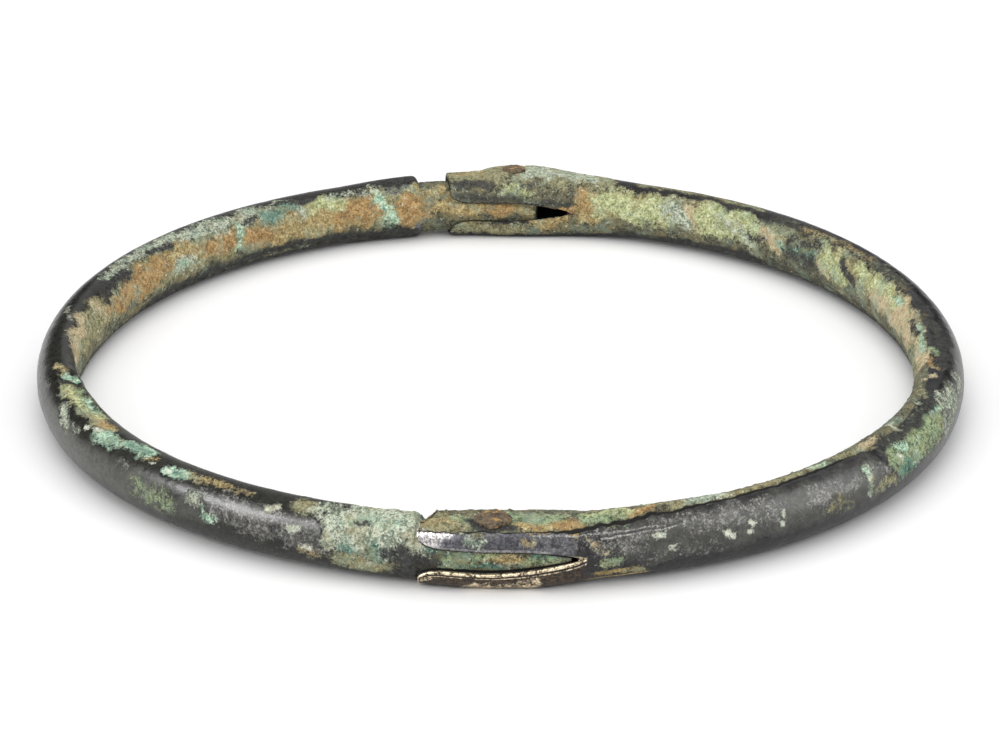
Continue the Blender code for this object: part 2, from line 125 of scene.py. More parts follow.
PIN_RADIUS = 0.9 * MM
PIN_FOOT_ABOVE_REST = 0.12 * MM
NOTCH_CLEAR = SLEEVE_ABOVE + 0.8 * MM
NOTCH_FLOOR = 2.25 * MM
NOTCH_FALL = 0.28
NOTCH_HALF_FLOOR = 0.34 * MM
NOTCH_RUN_LEFT = 0.55 * MM
NOTCH_RUN_RIGHT = 0.9 * MM
NOTCH_RIGHT_ROUNDING = 0.72
NOTCH_MIDDLE = 0.25 * MM
NOTCH_END = 2.0 * MM
NOTCH_WEAR_REACH = 4.5 * MM
NOTCH_LOWEST = 1.2 * MM
NOTCH_WALL = 0.07 * MM
BORE_UNDER_NOTCH = 0.05 * MM
RECESS_FROM = radians(193.8)
RECESS_TO = radians(208.8)
RECESS_EDGE_RUN = radians(0.6)
RECESS_TURN = radians(94)
RECESS_HALF_TURN = radians(23)
RECESS_TURN_RUN = radians(6)
RECESS_DEPTH = 0.42 * MM
DENT_ANGLE = radians(185)
DENT_REACH = radians(13)
DENT_DEPTH = 0.92 * MM
# The thin dark groove between the smooth skin's edge and the crust beside it
GROOVE_AT = 0.20 * MM
GROOVE_REACH = 0.20 * MM
GROOVE_DEPTH = 0.24 * MM

# How far from a thin line the surface still knows of it, and a hair's breadth for comparing depths
LINE_REACH = 1.0 * MM
HAIR = 0.001 * MM
# A wave starts anywhere in a full turn
ANY_START = 6.28

Joint = namedtuple("Joint", "place angle way mouth slip full_from full_to swell_end mouth_share mound hump "
                            "shoulder_swell cut_sag pin_at pin_out head_radius head_height")
FRONT = Joint(place="front", angle=-pi / 2, way=1, mouth=-7.5 * MM, slip=0.0, full_from=-2.5 * MM,
              full_to=2.0 * MM, swell_end=9.5 * MM, mouth_share=0.70, mound=0.0, hump=0.0,
              shoulder_swell=0.12 * MM, cut_sag=0.28 * MM, pin_at=-0.83 * MM, pin_out=0.7 * MM,
              head_radius=1.55 * MM, head_height=0.42 * MM)
BACK = Joint(place="back", angle=pi / 2, way=-1, mouth=-6.2 * MM, slip=3.3 * MM, full_from=1.5 * MM,
             full_to=3.0 * MM, swell_end=17.0 * MM, mouth_share=0.55, mound=0.6 * MM, hump=0.5 * MM,
             shoulder_swell=0.33 * MM, cut_sag=0.0, pin_at=1.4 * MM, pin_out=-0.1 * MM, head_radius=1.12 * MM,
             head_height=0.16 * MM)
JOINTS = (FRONT, BACK)

# The camera: the photograph's angle, from above and in front
CAMERA_TILT = radians(23.45)
CAMERA_DISTANCE = 8.0 * RING_RADIUS
CAMERA_AIM = Vector((-0.0044 * RING_RADIUS, -0.1073 * RING_RADIUS, REST_DEPTH))
CAMERA_LENS = 126.8


# Shapes along the ring

def smooth(value, low, high):
    """0 at low, 1 at high, with a soft start and end."""
    share = np.clip((value - low) / (high - low), 0.0, 1.0)
    return share * share * (3.0 - 2.0 * share)


def blend(low, high, share):
    return low + (high - low) * share


def even(first, last, count):
    return blend(first, last, np.linspace(0.0, 1.0, count)[None, :])


def waves(angle, shares):
    return sum(c * np.cos(n * angle) + s * np.sin(n * angle) for n, c, s in shares)


def wander(angle, seed, finest=0.8 * MM, coarsest=12.0 * MM):
    """An uneven line along the ring, between about -1 and 1."""
    rng = np.random.default_rng(seed)
    total = np.zeros_like(angle)
    for _ in range(14):
        size = coarsest * (finest / coarsest) ** rng.random()
        total = total + np.sin(angle * tau * RING_RADIUS / size + rng.random() * ANY_START) * rng.random()
    return total / 3.2


def along(joint, angle):
    """Distance along the ring from a joint's centre."""
    return joint.way * ((angle - joint.angle + pi) % tau - pi) * RING_RADIUS


def angle_at(joint, distance):
    return joint.angle + joint.way * distance / RING_RADIUS


def at_nearest_joint(angle, *fields):
    """The distance from the nearer joint, and that joint's own values."""
    front, back = along(FRONT, angle), along(BACK, angle)
    near_front = np.abs(front) < np.abs(back)
    return [np.where(near_front, front, back)] + [
        np.where(near_front, getattr(FRONT, field), getattr(BACK, field)) for field in fields]


def tube_size(angle):
    grown = 1.0 + waves(angle, THICKNESS_SHARES)
    return TUBE_HALF_WIDTH * grown, TUBE_HALF_HEIGHT * grown


def oval(turn, half_width, above, below, squareness):
    c, s = np.cos(turn), np.sin(turn)
    out = half_width * np.sign(c) * np.abs(c) ** (2.0 / squareness)
    up = np.where(s > 0, above, below) * np.sign(s) * np.abs(s) ** (2.0 / squareness)
    return out, up


def turn_at_height(up, above, below, squareness):
    share = np.clip(np.abs(up) / np.where(up > 0, above, below), 0.0, 1.0)
    return np.sign(up) * np.arcsin(share ** (squareness / 2.0))


def inwards(out, up, depth):
    keep = 1.0 - depth / np.maximum(np.hypot(out, up), 0.1 * MM)
    return out * keep, up * keep


def cut_half_height(depth):
    """Half the height of the cut between two petals, at a depth from their tips. It closes at its far end."""
    share = 1.0 - np.clip(depth / PETAL_TIP_LENGTH, 0.0, 1.0)
    taper = np.clip((depth - CUT_STRAIGHT) / (CUT_DEPTH - CUT_STRAIGHT), 0.0, 1.0)
    tip = PETAL_TIP_HEIGHT * (1.0 - np.sqrt(1.0 - share * share))
    return CUT_HALF_HEIGHT * (1.0 - taper ** CUT_TAPER_POWER) + tip


def cut_middle(cut_sag, depth):
    return CUT_MIDDLE - cut_sag * np.exp(-((depth - CUT_SAG_AT) / CUT_SAG_REACH) ** 2)


def notch_height(distance, out):
    """The worn notch's height over the front joint, high above everything away from it."""
    rise = (NOTCH_CLEAR - NOTCH_FLOOR) / (SLEEVE_ABOVE - NOTCH_FLOOR)
    share = np.interp(out, (-SLEEVE_HALF_WIDTH - 1.0 * MM, 0.0, NOTCH_END, NOTCH_END + 0.5 * MM),
                      (1.0, 0.9, 0.2, 0.02))
    floor = blend(SLEEVE_ABOVE, NOTCH_FLOOR + NOTCH_FALL * out, share)
    off = distance - FRONT.mouth - NOTCH_MIDDLE
    run = np.where(off > 0.0, NOTCH_RUN_RIGHT, NOTCH_RUN_LEFT) * share * rise
    past = np.maximum(0.0, np.abs(off) - share * NOTCH_HALF_FLOOR) / run
    past = np.where((off > 0.0) & (past < 1.0), past ** NOTCH_RIGHT_ROUNDING, past)
    return floor + past * (NOTCH_CLEAR - floor)


def notch_wear(out):
    """How far the front sleeve's upper petal is worn back from its mouth, where the notch is through it."""
    places = np.linspace(FRONT.mouth, FRONT.mouth + 3.0 * MM, 61)
    through = notch_height(places[:, None], np.ravel(out)[None, :]) < BORE_ABOVE
    return (through.sum(0) * 0.05 * MM).reshape(np.shape(out))


def socket_edge(angle):
    """The turn at which the socket half's smooth outer skin ends, with the break's unevenness."""
    turn = np.interp(np.degrees(angle), *zip(*SOCKET_EDGE))
    return np.radians(turn + 2.6 * wander(angle, 11, coarsest=6.0 * MM))


def top_height(distance, mound, hump):
    """The worn top of a sleeve, at a distance from the joint's centre."""
    there = smooth(distance, HUMP[0], HUMP[1]) * (1.0 - smooth(distance, HUMP[2], HUMP[3]))
    return SLEEVE_ABOVE + mound + hump * there


def crust_bank(angle, turn):
    """How far the crust stands proud on the socket half's inner face, beside the skin's edge."""
    height = np.interp(np.degrees(angle), *zip(*CRUST_BANK), left=0.0, right=0.0)
    return height * (1.0 - smooth(turn, CRUST_BANK_FULL_TO, CRUST_BANK_END))


def sleeve_form(angle):
    """The socket half's section: half width, height above and below, squareness, sleeve's share, flat top."""
    distance, mouth, mouth_share, full_from, full_to, swell_end, mound, hump = at_nearest_joint(
        angle, "mouth", "mouth_share", "full_from", "full_to", "swell_end", "mound", "hump")
    share = blend(mouth_share, 1.0, smooth(distance, mouth, full_from))
    share = share * (1.0 - smooth(distance, full_to, swell_end))
    width, height = tube_size(angle)
    top = top_height(distance, mound, hump)
    return (blend(width, SLEEVE_HALF_WIDTH, share), blend(height, top + SLEEVE_CROWN, share),
            blend(height, REST_DEPTH + SLEEVE_CROWN, share), blend(2.0, SLEEVE_SQUARENESS, share), share, top)


def recess_depth(angle, turn):
    """The broken recess on the plug half's upper inner side, steep at its two ends."""
    ragged = radians(0.5) * wander(turn * 0.08, 5, finest=0.5 * MM, coarsest=2.0 * MM)
    from_start = smooth(angle + ragged, RECESS_FROM, RECESS_FROM + RECESS_EDGE_RUN)
    to_end = 1.0 - smooth(angle + 0.7 * ragged, RECESS_TO - RECESS_EDGE_RUN, RECESS_TO)
    half = RECESS_HALF_TURN + radians(3.0) * wander(angle, 6, coarsest=4.0 * MM)
    across = 1.0 - smooth(np.abs(turn - RECESS_TURN), half - RECESS_TURN_RUN, half)
    return RECESS_DEPTH * from_start * to_end * across


def dent(angle, turn):
    off = (angle - DENT_ANGLE) / DENT_REACH
    return DENT_DEPTH * np.exp(-off * off) * np.maximum(0.0, -np.cos(turn)) ** 1.5


# Straight meshes

# What each place of the surface is: how near a petal's lip (1 on it, more behind it), a hidden inner wall,
# the crusted face between the smooth skin's two edges, the thin groove beside its edge, how near a crevice that is
# painted black as shade
SURFACE_MARKS = ("lip", "inside", "face", "groove", "crevice")
BEHIND_LIP = 1.3
# The widest gap between two stations along the ring
WIDEST_SPACING = 0.27 * MM


def store(mesh, name, values):
    mesh.attributes.new(name, "FLOAT", "POINT").data.foreach_set("value", np.asarray(values, np.float32))


def read(mesh, name):
    values = np.empty(len(mesh.vertices), np.float32)
    mesh.attributes[name].data.foreach_get("value", values)
    return values.astype(float)


def closeness(off):
    """1 on a line and 0 at LINE_REACH from it, so that a line of any width can be cut from it later."""
    return np.clip(1.0 - np.abs(off) / LINE_REACH, 0.0, 1.0)


def lay_out(start, end, spacing, extra):
    """A column of plan angles from start to end, as close together as spacing(angle) says, and extra ones."""
    fine = np.linspace(start, end, 6000)
    steps = np.diff(fine) * RING_RADIUS / spacing(0.5 * (fine[1:] + fine[:-1]))
    counted = np.concatenate(([0.0], np.cumsum(steps)))
    angles = np.interp(np.linspace(0.0, counted[-1], int(counted[-1]) + 2), counted, fine)
    extra = np.array([a for a in extra if start < a < end])
    near = np.abs(angles[:, None] - extra[None, :]).min(1) * RING_RADIUS < 0.04 * MM
    near[[0, -1]] = False
    return np.sort(np.concatenate((angles[~near], extra)))[:, None]


def quads(index):
    """The faces between the neighbouring rows and columns of a grid."""
    corners = np.stack((index[:-1, :-1], index[1:, :-1], index[1:, 1:], index[:-1, 1:]), -1)
    return corners.reshape(-1, 4).tolist()


class Sheets:
    """Grids of places laid edge to edge. Their touching edges are merged into one closed skin."""

    def __init__(self):
        self.places, self.faces, self.values = [], [], []
        self.count = 0

    def add(self, distance, out, up, **marks):
        """A grid of rows and columns: distance along, outwards and upwards, and what the surface is there."""
        distance, out, up = np.broadcast_arrays(distance, out, up)
        index = np.arange(out.size).reshape(out.shape) + self.count
        self.count += out.size
        self.places.append(np.stack((distance, out, up), -1).reshape(-1, 3))
        marks = [np.broadcast_to(np.asarray(marks.get(mark, 0.0), float), out.shape) for mark in SURFACE_MARKS]
        self.values.append(np.stack(marks, -1).reshape(-1, len(marks)))
        self.faces.extend(quads(index))
        return index

    def close(self, loop, distance):
        """Fills a loop of places round a point on the tube's centreline."""
        self.places.append(np.array([(distance, 0.0, 0.0)]))
        hidden = {"inside": 1.0, "lip": BEHIND_LIP}
        self.values.append(np.array([[hidden.get(mark, 0.0) for mark in SURFACE_MARKS]]))
        self.faces.extend([[self.count, int(a), int(b)] for a, b in zip(loop, np.roll(loop, -1))])
        self.count += 1

    def mesh(self, name):
        mesh = bpy.data.meshes.new(name)
        mesh.from_pydata(np.concatenate(self.places).tolist(), [], self.faces)
        for mark, values in zip(SURFACE_MARKS, np.concatenate(self.values).T):
            store(mesh, mark, values)
        merged = bmesh.new()
        merged.from_mesh(mesh)
        bmesh.ops.remove_doubles(merged, verts=merged.verts, dist=0.002 * MM)
        bmesh.ops.dissolve_degenerate(merged, dist=0.0005 * MM, edges=merged.edges)
        bmesh.ops.recalc_face_normals(merged, faces=merged.faces)
        merged.to_mesh(mesh)
        merged.free()
        return mesh


def straight_socket_half():
    """The tube, and at each end a sleeve, open at its mouth, cut into an upper and a lower petal."""
    start, end = angle_at(FRONT, FRONT.mouth), angle_at(BACK, BACK.mouth)

    def spacing(angle):
        distance, mouth = at_nearest_joint(angle, "mouth")
        return blend(0.17 * MM, WIDEST_SPACING, smooth(distance - mouth, 2.0 * MM, 18.0 * MM))

    exact = [MOUTH_ROUNDING * share for share in (0.04, 0.16, 0.36, 0.64, 1.0)] + [BORE_DEPTH, CUT_DEPTH]
    exact += [CUT_DEPTH - share * (CUT_DEPTH - BORE_DEPTH) for share in (0.06, 0.15, 0.3, 0.5, 0.75)]
    extra = [angle_at(joint, joint.mouth + depth) for joint in JOINTS for depth in exact]
    angle = lay_out(start, end, spacing, extra)
    station = angle * RING_RADIUS
    distance, mouth, cut_sag = at_nearest_joint(angle, "mouth", "cut_sag")
    depth = np.maximum(distance - mouth, 0.0)
    width, above, below, squareness, share, top = sleeve_form(angle)
    inset = np.clip(1.0 - depth / MOUTH_ROUNDING, 0.0, 1.0)
    inset = MOUTH_INSET * (1.0 - np.sqrt(1.0 - inset ** 2))
    half, middle = cut_half_height(depth), cut_middle(cut_sag, depth)
    lip = PETAL_LIP_ROUNDING * smooth(half, 0.0, 0.3 * MM)
    upper_turn = turn_at_height(middle + half + lip, above, below, squareness)
    lower_turn = turn_at_height(middle - half - lip, above, below, squareness)
    ledge = INNER_FACE_LEDGE / TUBE_HALF_HEIGHT
    face_depth = INNER_FACE_DEPTH * (1.0 - smooth(share, 0.0, 0.5))
    edge = socket_edge(angle)
    at_mouth = closeness(depth)

    def outside(turn, depth_in):
        out, up = inwards(*oval(turn, width, above, below, squareness), inset + depth_in)
        return out, np.clip(up, inset - REST_DEPTH, top - inset)

    # the upper side, with the notch worn in the front mouth and the crust's groove and bank
    sheets = Sheets()
    skin, face = even(upper_turn, edge, 34), even(edge + ledge, pi - upper_turn, 26)
    turns = np.concatenate((skin, face), 1)
    on_face = np.concatenate((np.zeros_like(skin), np.ones_like(face)), 1)
    past_edge = (turns - edge) * TUBE_HALF_HEIGHT
    groove = on_face * np.exp(-((past_edge - GROOVE_AT) / GROOVE_REACH) ** 2)
    groove = groove * smooth(-angle, -0.3, 0.3) * (0.75 + 0.4 * wander(angle, 31))
    bank = crust_bank(angle, turns) * on_face * smooth(past_edge, 0.8 * GROOVE_AT, GROOVE_AT + 0.45 * MM)
    out, up = inwards(*outside(turns, face_depth * on_face + GROOVE_DEPTH * groove), -bank)
    wear = np.where(angle < 0.0, notch_wear(out[:1, :]), 0.0)
    upper_station = station + wear * (1.0 - np.clip(depth / NOTCH_WEAR_REACH, 0.0, 1.0))
    over_notch = notch_height(upper_station - start * RING_RADIUS + FRONT.mouth, out)
    worn = np.minimum(up, np.maximum(over_notch, oval(turns, *BORE)[1] + NOTCH_WALL))
    up = np.where((angle < 0.0) & (depth < 6.0 * MM) & (up > NOTCH_LOWEST), worn, up)
    at_lip = closeness(np.minimum(turns - upper_turn, pi - upper_turn - turns) * above) * (half > 0.0)
    # Painted shade: a dark line just past the skin's edge, under the crust's rim, on the front of the right side
    crevice = closeness(past_edge - 0.8 * GROOVE_AT + 0.06 * MM * wander(angle, 33))
    crevice = crevice * smooth(-angle, 0.45, 0.85) * (1.0 + 0.16 * smooth(angle, -1.50, -1.42))
    upper = sheets.add(upper_station, out, up, lip=np.maximum(at_lip, at_mouth), face=on_face, groove=groove,
                       crevice=crevice)
    petals = {1: (upper, turns, upper_station, out, up)}

    # the lower side
    face = even(pi - lower_turn, tau + LOWER_EDGE_TURN - ledge, 14)
    skin = even(tau + LOWER_EDGE_TURN, tau + lower_turn, 42)
    turns = np.concatenate((face, skin), 1)
    on_face = np.concatenate((np.ones_like(face), np.zeros_like(skin)), 1)
    out, up = outside(turns, face_depth * on_face)
    at_lip = closeness(np.minimum(turns - pi + lower_turn, tau + lower_turn - turns) * below) * (half > 0.0)
    lower = sheets.add(station, out, up, lip=np.maximum(at_lip, at_mouth), face=on_face)
    petals[-1] = lower, turns, station + 0.0 * out, out, up

    def side_by_side(rows, *columns):
        return [np.concatenate([np.broadcast_to(column[k], station.shape)[rows] for column in columns], 1)
                for k in range(3)]

    # the petals' lips, the bores behind them, and the slit's shallow floor past the bore's end
    behind = np.clip((CUT_DEPTH - depth) / (CUT_DEPTH - BORE_DEPTH), 0.0, 1.0)
    behind = np.where(depth <= BORE_DEPTH + HAIR, 1.0, behind)
    for joint in JOINTS:
        near = np.abs(along(joint, angle)) < 0.45 * pi * RING_RADIUS
        bored, cut = near & (depth <= BORE_DEPTH + HAIR), near & (depth <= CUT_DEPTH + HAIR)
        bore_rows, open_rows = np.flatnonzero(bored), np.flatnonzero(cut)
        slit_rows = np.flatnonzero(cut & (depth >= BORE_DEPTH - HAIR))
        at_front, at_end = (0, -1) if joint is FRONT else (-1, 0)
        feet, loops = {}, []
        for way, (shell, turns, grid_station, grid_out, grid_up) in petals.items():
            cut_up = middle + way * half
            turn = turn_at_height(cut_up, BORE_ABOVE, BORE_BELOW, PLUG_SQUARENESS)
            first, last = (turn, pi - turn) if way > 0 else (pi - turn, tau + turn)
            arc = blend(first, last, (turns - turns[:, :1]) / (turns[:, -1:] - turns[:, :1]))
            arc_out, arc_up = oval(arc, *BORE)
            if way > 0:
                arc_up = np.minimum(arc_up, grid_up - BORE_UNDER_NOTCH * (grid_up > NOTCH_LOWEST))
            for column in (0, -1):
                at, edge_out, edge_up = (values[:, [column]] for values in (grid_station, grid_out, grid_up))
                side = np.sign(edge_out)
                wall = np.abs(edge_out) - np.abs(arc_out[:, [column]])
                feet[way, column] = at, edge_out - side * wall * behind, cut_up
                strip = sheets.add(*side_by_side(
                    open_rows, (at, edge_out, edge_up),
                    (at, edge_out - side * 0.28 * lip, cut_up + way * 0.28 * lip),
                    (at, edge_out - side * lip, cut_up),
                    feet[way, column]), lip=[[1.0, 1.0, 1.02, BEHIND_LIP]])
                sheets.faces.append(strip[at_front].tolist())
            bore = sheets.add(grid_station[bore_rows], arc_out[bore_rows], arc_up[bore_rows], inside=1.0,
                              lip=BEHIND_LIP)
            sheets.faces.extend(quads(np.stack((shell[open_rows[at_front]], bore[at_front]))))
            loops.append(bore[at_end])
        sheets.close(np.concatenate(loops), float(station[bore_rows[at_end], 0]))
        for upper_column, lower_column in ((0, -1), (-1, 0)):
            sheets.add(*side_by_side(slit_rows, feet[1, upper_column], feet[-1, lower_column]),
                       inside=float(joint is BACK), lip=BEHIND_LIP * (joint is BACK))
    return sheets.mesh("socket_half")


def straight_plug_half():
    """The tube and its two plugs, with a flush panel on each plug's outer and inner side."""
    side_points, cap_points, skin_points, face_points, skin_start = 13, 37, 66, 34, 26
    start = angle_at(BACK, BACK.mouth - SHOULDER_GAP - BACK.slip + PLUG_LENGTH)
    end = angle_at(FRONT, FRONT.mouth - SHOULDER_GAP + PLUG_LENGTH) + tau

    def spacing(angle):
        distance, mouth, slip = at_nearest_joint(angle, "mouth", "slip")
        behind = np.abs(distance - mouth + slip + SHOULDER_GAP)
        off_recess = np.abs(angle - 0.5 * (RECESS_FROM + RECESS_TO)) * RING_RADIUS
        near_recess = smooth(off_recess, 8.0 * MM, 12.0 * MM)
        return blend(0.15 * MM, WIDEST_SPACING, np.minimum(smooth(behind, 1.0 * MM, 14.0 * MM), near_recess))

    extra = []
    for joint, turn_over in ((FRONT, tau), (BACK, 0.0)):
        shoulder = joint.mouth - SHOULDER_GAP - joint.slip
        places = [shoulder - SHOULDER_ROUNDING * share for share in (0.0, 0.05, 0.12, 0.25, 0.4, 0.7, 1.0)]
        places += [shoulder + PLUG_LENGTH - PLUG_END_ROUNDING * share for share in (0.1, 0.3, 0.6, 1.0)]
        extra += [angle_at(joint, place) + turn_over for place in places]
    angle = lay_out(start, end, spacing, extra)
    station = angle * RING_RADIUS
    distance, mouth, slip, shoulder_swell, cut_sag = at_nearest_joint(
        angle, "mouth", "slip", "shoulder_swell", "cut_sag")
    shoulder = mouth - SHOULDER_GAP - slip
    width, height = tube_size(angle)
    swell = shoulder_swell * (1.0 - smooth(shoulder - distance, 0.0, SHOULDER_SWELL_REACH))
    past = np.clip((distance - shoulder + SHOULDER_ROUNDING) / SHOULDER_ROUNDING, 0.0, 1.0)
    full = np.sqrt(1.0 - past * past)
    near_end = np.clip(1.0 - (shoulder + PLUG_LENGTH - distance) / PLUG_END_ROUNDING, 0.0, 1.0)
    end_inset = PLUG_END_ROUNDING * (1.0 - np.sqrt(1.0 - near_end * near_end))
    cap_size = [blend(plug, tube + swell, full) - end_inset
                for plug, tube in ((PLUG_HALF_WIDTH, width), (PLUG_ABOVE, height), (PLUG_BELOW, height))]
    side_width = width + swell * full - 0.25 * end_inset
    side_height = height + swell * full
    depth = distance - mouth + slip
    middle = cut_middle(cut_sag, depth)
    panel = np.maximum(0.02 * MM, cut_half_height(depth) - PANEL_PLAY)
    low, high = (np.arcsin((middle + way * panel) / side_height) for way in (-1, 1))
    wall = PANEL_WALL / height
    on_plug = np.concatenate((even(low, high, side_points), even(high + wall, pi - high - wall, cap_points),
                              even(pi - high, pi - low, side_points),
                              even(pi - low + wall, tau + low - wall, cap_points)), 1)
    upper_edge = PLUG_HALF_EDGE_TURN + radians(3.5) * wander(angle, 21, coarsest=7.0 * MM)
    lower_edge = LOWER_EDGE_TURN + radians(3.0) * wander(angle, 22, coarsest=7.0 * MM)
    ledge = INNER_FACE_LEDGE / height
    skin = even(lower_edge, upper_edge, skin_points)
    face = even(upper_edge + ledge, lower_edge + tau - ledge, face_points)
    on_tube = np.concatenate((skin[:, skin_start:], face, skin[:, :skin_start] + tau), 1)
    tube_share = smooth(shoulder - distance, TUBE_FORM_FROM, TUBE_FORM_FULL)
    turn = blend(on_plug, on_tube, tube_share)
    place = np.arange(turn.shape[1])
    on_side = (place % (side_points + cap_points) < side_points)[None, :]
    past_skin = place - (skin_points - skin_start)
    on_face = ((past_skin >= 0) & (past_skin < face_points))[None, :]
    side = oval(turn, side_width, side_height, side_height, 2.0)
    cap = oval(turn, *cap_size, blend(PLUG_SQUARENESS, 2.0, full))
    out, up = np.where(on_side, side[0], cap[0]), np.where(on_side, side[1], cap[1])
    out, up = inwards(out, up, np.where(on_face, INNER_FACE_DEPTH * tube_share, recess_depth(angle, turn)))
    out = out + dent(angle, turn)
    from_front = along(FRONT, angle)
    near_notch = (angle > pi) & (np.abs(from_front - FRONT.mouth) < 4.0 * MM) & (up > 1.0 * MM)
    up = np.where(near_notch, np.minimum(up, notch_height(from_front, out)), up)
    up = np.maximum(-REST_DEPTH, up)
    crusted = np.maximum(on_face * tube_share, smooth(distance - shoulder, -0.3 * MM, 0.3 * MM))
    # Painted shade: black round the edges of the front plug's panels and over its caps, inside the front sleeve
    crevice = closeness(np.maximum(0.0, panel - np.abs(up - middle))) - 0.08 * (up - middle < 0.0)
    crevice = np.where(on_side, crevice, 1.0) * (distance > mouth + 0.1 * MM) * (angle > pi)

    sheets = Sheets()
    grid = sheets.add(station, out, up, face=crusted, crevice=crevice)
    sheets.faces.extend(quads(np.stack((grid[:, -1], grid[:, 0]), 1)))
    for row in (0, -1):
        sheets.close(grid[row], float(station[row, 0]))
    return sheets.mesh("plug_half")


# Node trees

class Value:
    """What a node puts out. Arithmetic with it adds the nodes that work it out to its tree."""

    def __init__(self, socket):
        self.socket, self.tree = socket, socket.id_data

    def __add__(self, other):
        return maths("ADD", self, other)

    def __sub__(self, other):
        return maths("SUBTRACT", self, other)

    def __rsub__(self, other):
        return maths("SUBTRACT", other, self)

    def __mul__(self, other):
        return maths("MULTIPLY", self, other)

    def __truediv__(self, other):
        return maths("DIVIDE", self, other)

    def __rtruediv__(self, other):
        return maths("DIVIDE", other, self)

    __radd__, __rmul__ = __add__, __mul__


def join(value, socket):
    """Feeds a socket from a node's output, or sets its own value."""
    if isinstance(value, Value):
        value.tree.links.new(value.socket, socket)
    else:
        socket.default_value = value


def node(tree, kind, inputs=None, output=0, **settings):
    made = tree.nodes.new(kind)
    for name, value in settings.items():
        setattr(made, name, value)
    for key, value in (inputs or {}).items():
        join(value, made.inputs[key])
    return Value(made.outputs[output])


def maths(operation, *values, clamp=False):
    tree = next(value.tree for value in values if isinstance(value, Value))
    return node(tree, "ShaderNodeMath", dict(enumerate(values)), operation=operation, use_clamp=clamp)


def vector_maths(operation, first, second):
    return node(first.tree, "ShaderNodeVectorMath", {0: first, 1: second}, operation=operation)


def parts(value, kind="XYZ"):
    """A vector's three numbers, or a colour's."""
    split = node(value.tree, "ShaderNodeSeparate" + kind, {0: value}).socket.node
    return [Value(socket) for socket in split.outputs]


def soft_step(value, low, high):
    return node(value.tree, "ShaderNodeMapRange", {"Value": value, "From Min": low, "From Max": high},
                interpolation_type="SMOOTHSTEP")


def noise(place, size, detail=3.0, roughness=0.55, shift=0.0, distortion=0.0):
    """Even noise whose lumps are about size across."""
    moved = vector_maths("ADD", place, (shift, 0.37 * shift, -0.61 * shift))
    return node(place.tree, "ShaderNodeTexNoise", {"Vector": moved, "Scale": 1.0 / size, "Detail": detail,
                                                   "Roughness": roughness, "Distortion": distortion})


def new_tree(name, kind, inputs, output, output_kind):
    """A node group with named inputs, each a starting number or a kind of value, and one named output."""
    tree = bpy.data.node_groups.new(name, kind)
    for label, value in inputs.items():
        number = isinstance(value, float)
        socket = tree.interface.new_socket(name=label, in_out="INPUT",
                                           socket_type="NodeSocketFloat" if number else "NodeSocket" + value)
        if number:
            socket.default_value = value
    tree.interface.new_socket(name=output, in_out="OUTPUT", socket_type="NodeSocket" + output_kind)
    given = {socket.name: Value(socket) for socket in tree.nodes.new("NodeGroupInput").outputs}
    return tree, given, tree.nodes.new("NodeGroupOutput").inputs[0]


def bend_round_ring():
    """Geometry nodes: a straight half, laid out along X, is bent round the slightly uneven ring."""
    shares = {f"Share {part} {order}": 0.0 for order, *_ in PLAN_SHARES for part in ("cosine", "sine")}
    tree, given, result = new_tree("bend round the ring", "GeometryNodeTree", {
        "Geometry": "Geometry", "Ring radius": 0.0, "Joint flattening": 0.0, "Joint reach": 0.0,
        "Centreline height": 0.0, **shares}, "Geometry", "Geometry")
    x, y, z = parts(node(tree, "GeometryNodeInputPosition"))
    angle = x / given["Ring radius"]
    grown = 1.0
    for order, *_ in PLAN_SHARES:
        for part, wave in (("cosine", "COSINE"), ("sine", "SINE")):
            grown = maths(wave, angle * float(order)) * given[f"Share {part} {order}"] + grown
    radius = given["Ring radius"] * grown
    for joint in JOINTS:
        chord = maths("SINE", (angle - joint.angle) * 0.5) * 2.0 * given["Ring radius"]
        share = maths("POWER", maths("ABSOLUTE", chord) / given["Joint reach"], 2.0)
        hollow = (1.0 - share) * maths("EXPONENT", share * -0.5)
        radius = radius - hollow * given["Joint flattening"]
    radius = radius + y
    bent = node(tree, "ShaderNodeCombineXYZ", {
        "X": radius * maths("COSINE", angle), "Y": radius * maths("SINE", angle),
        "Z": z + given["Centreline height"]})
    join(node(tree, "GeometryNodeSetPosition", {"Geometry": given["Geometry"], "Position": bent}), result)
    return tree


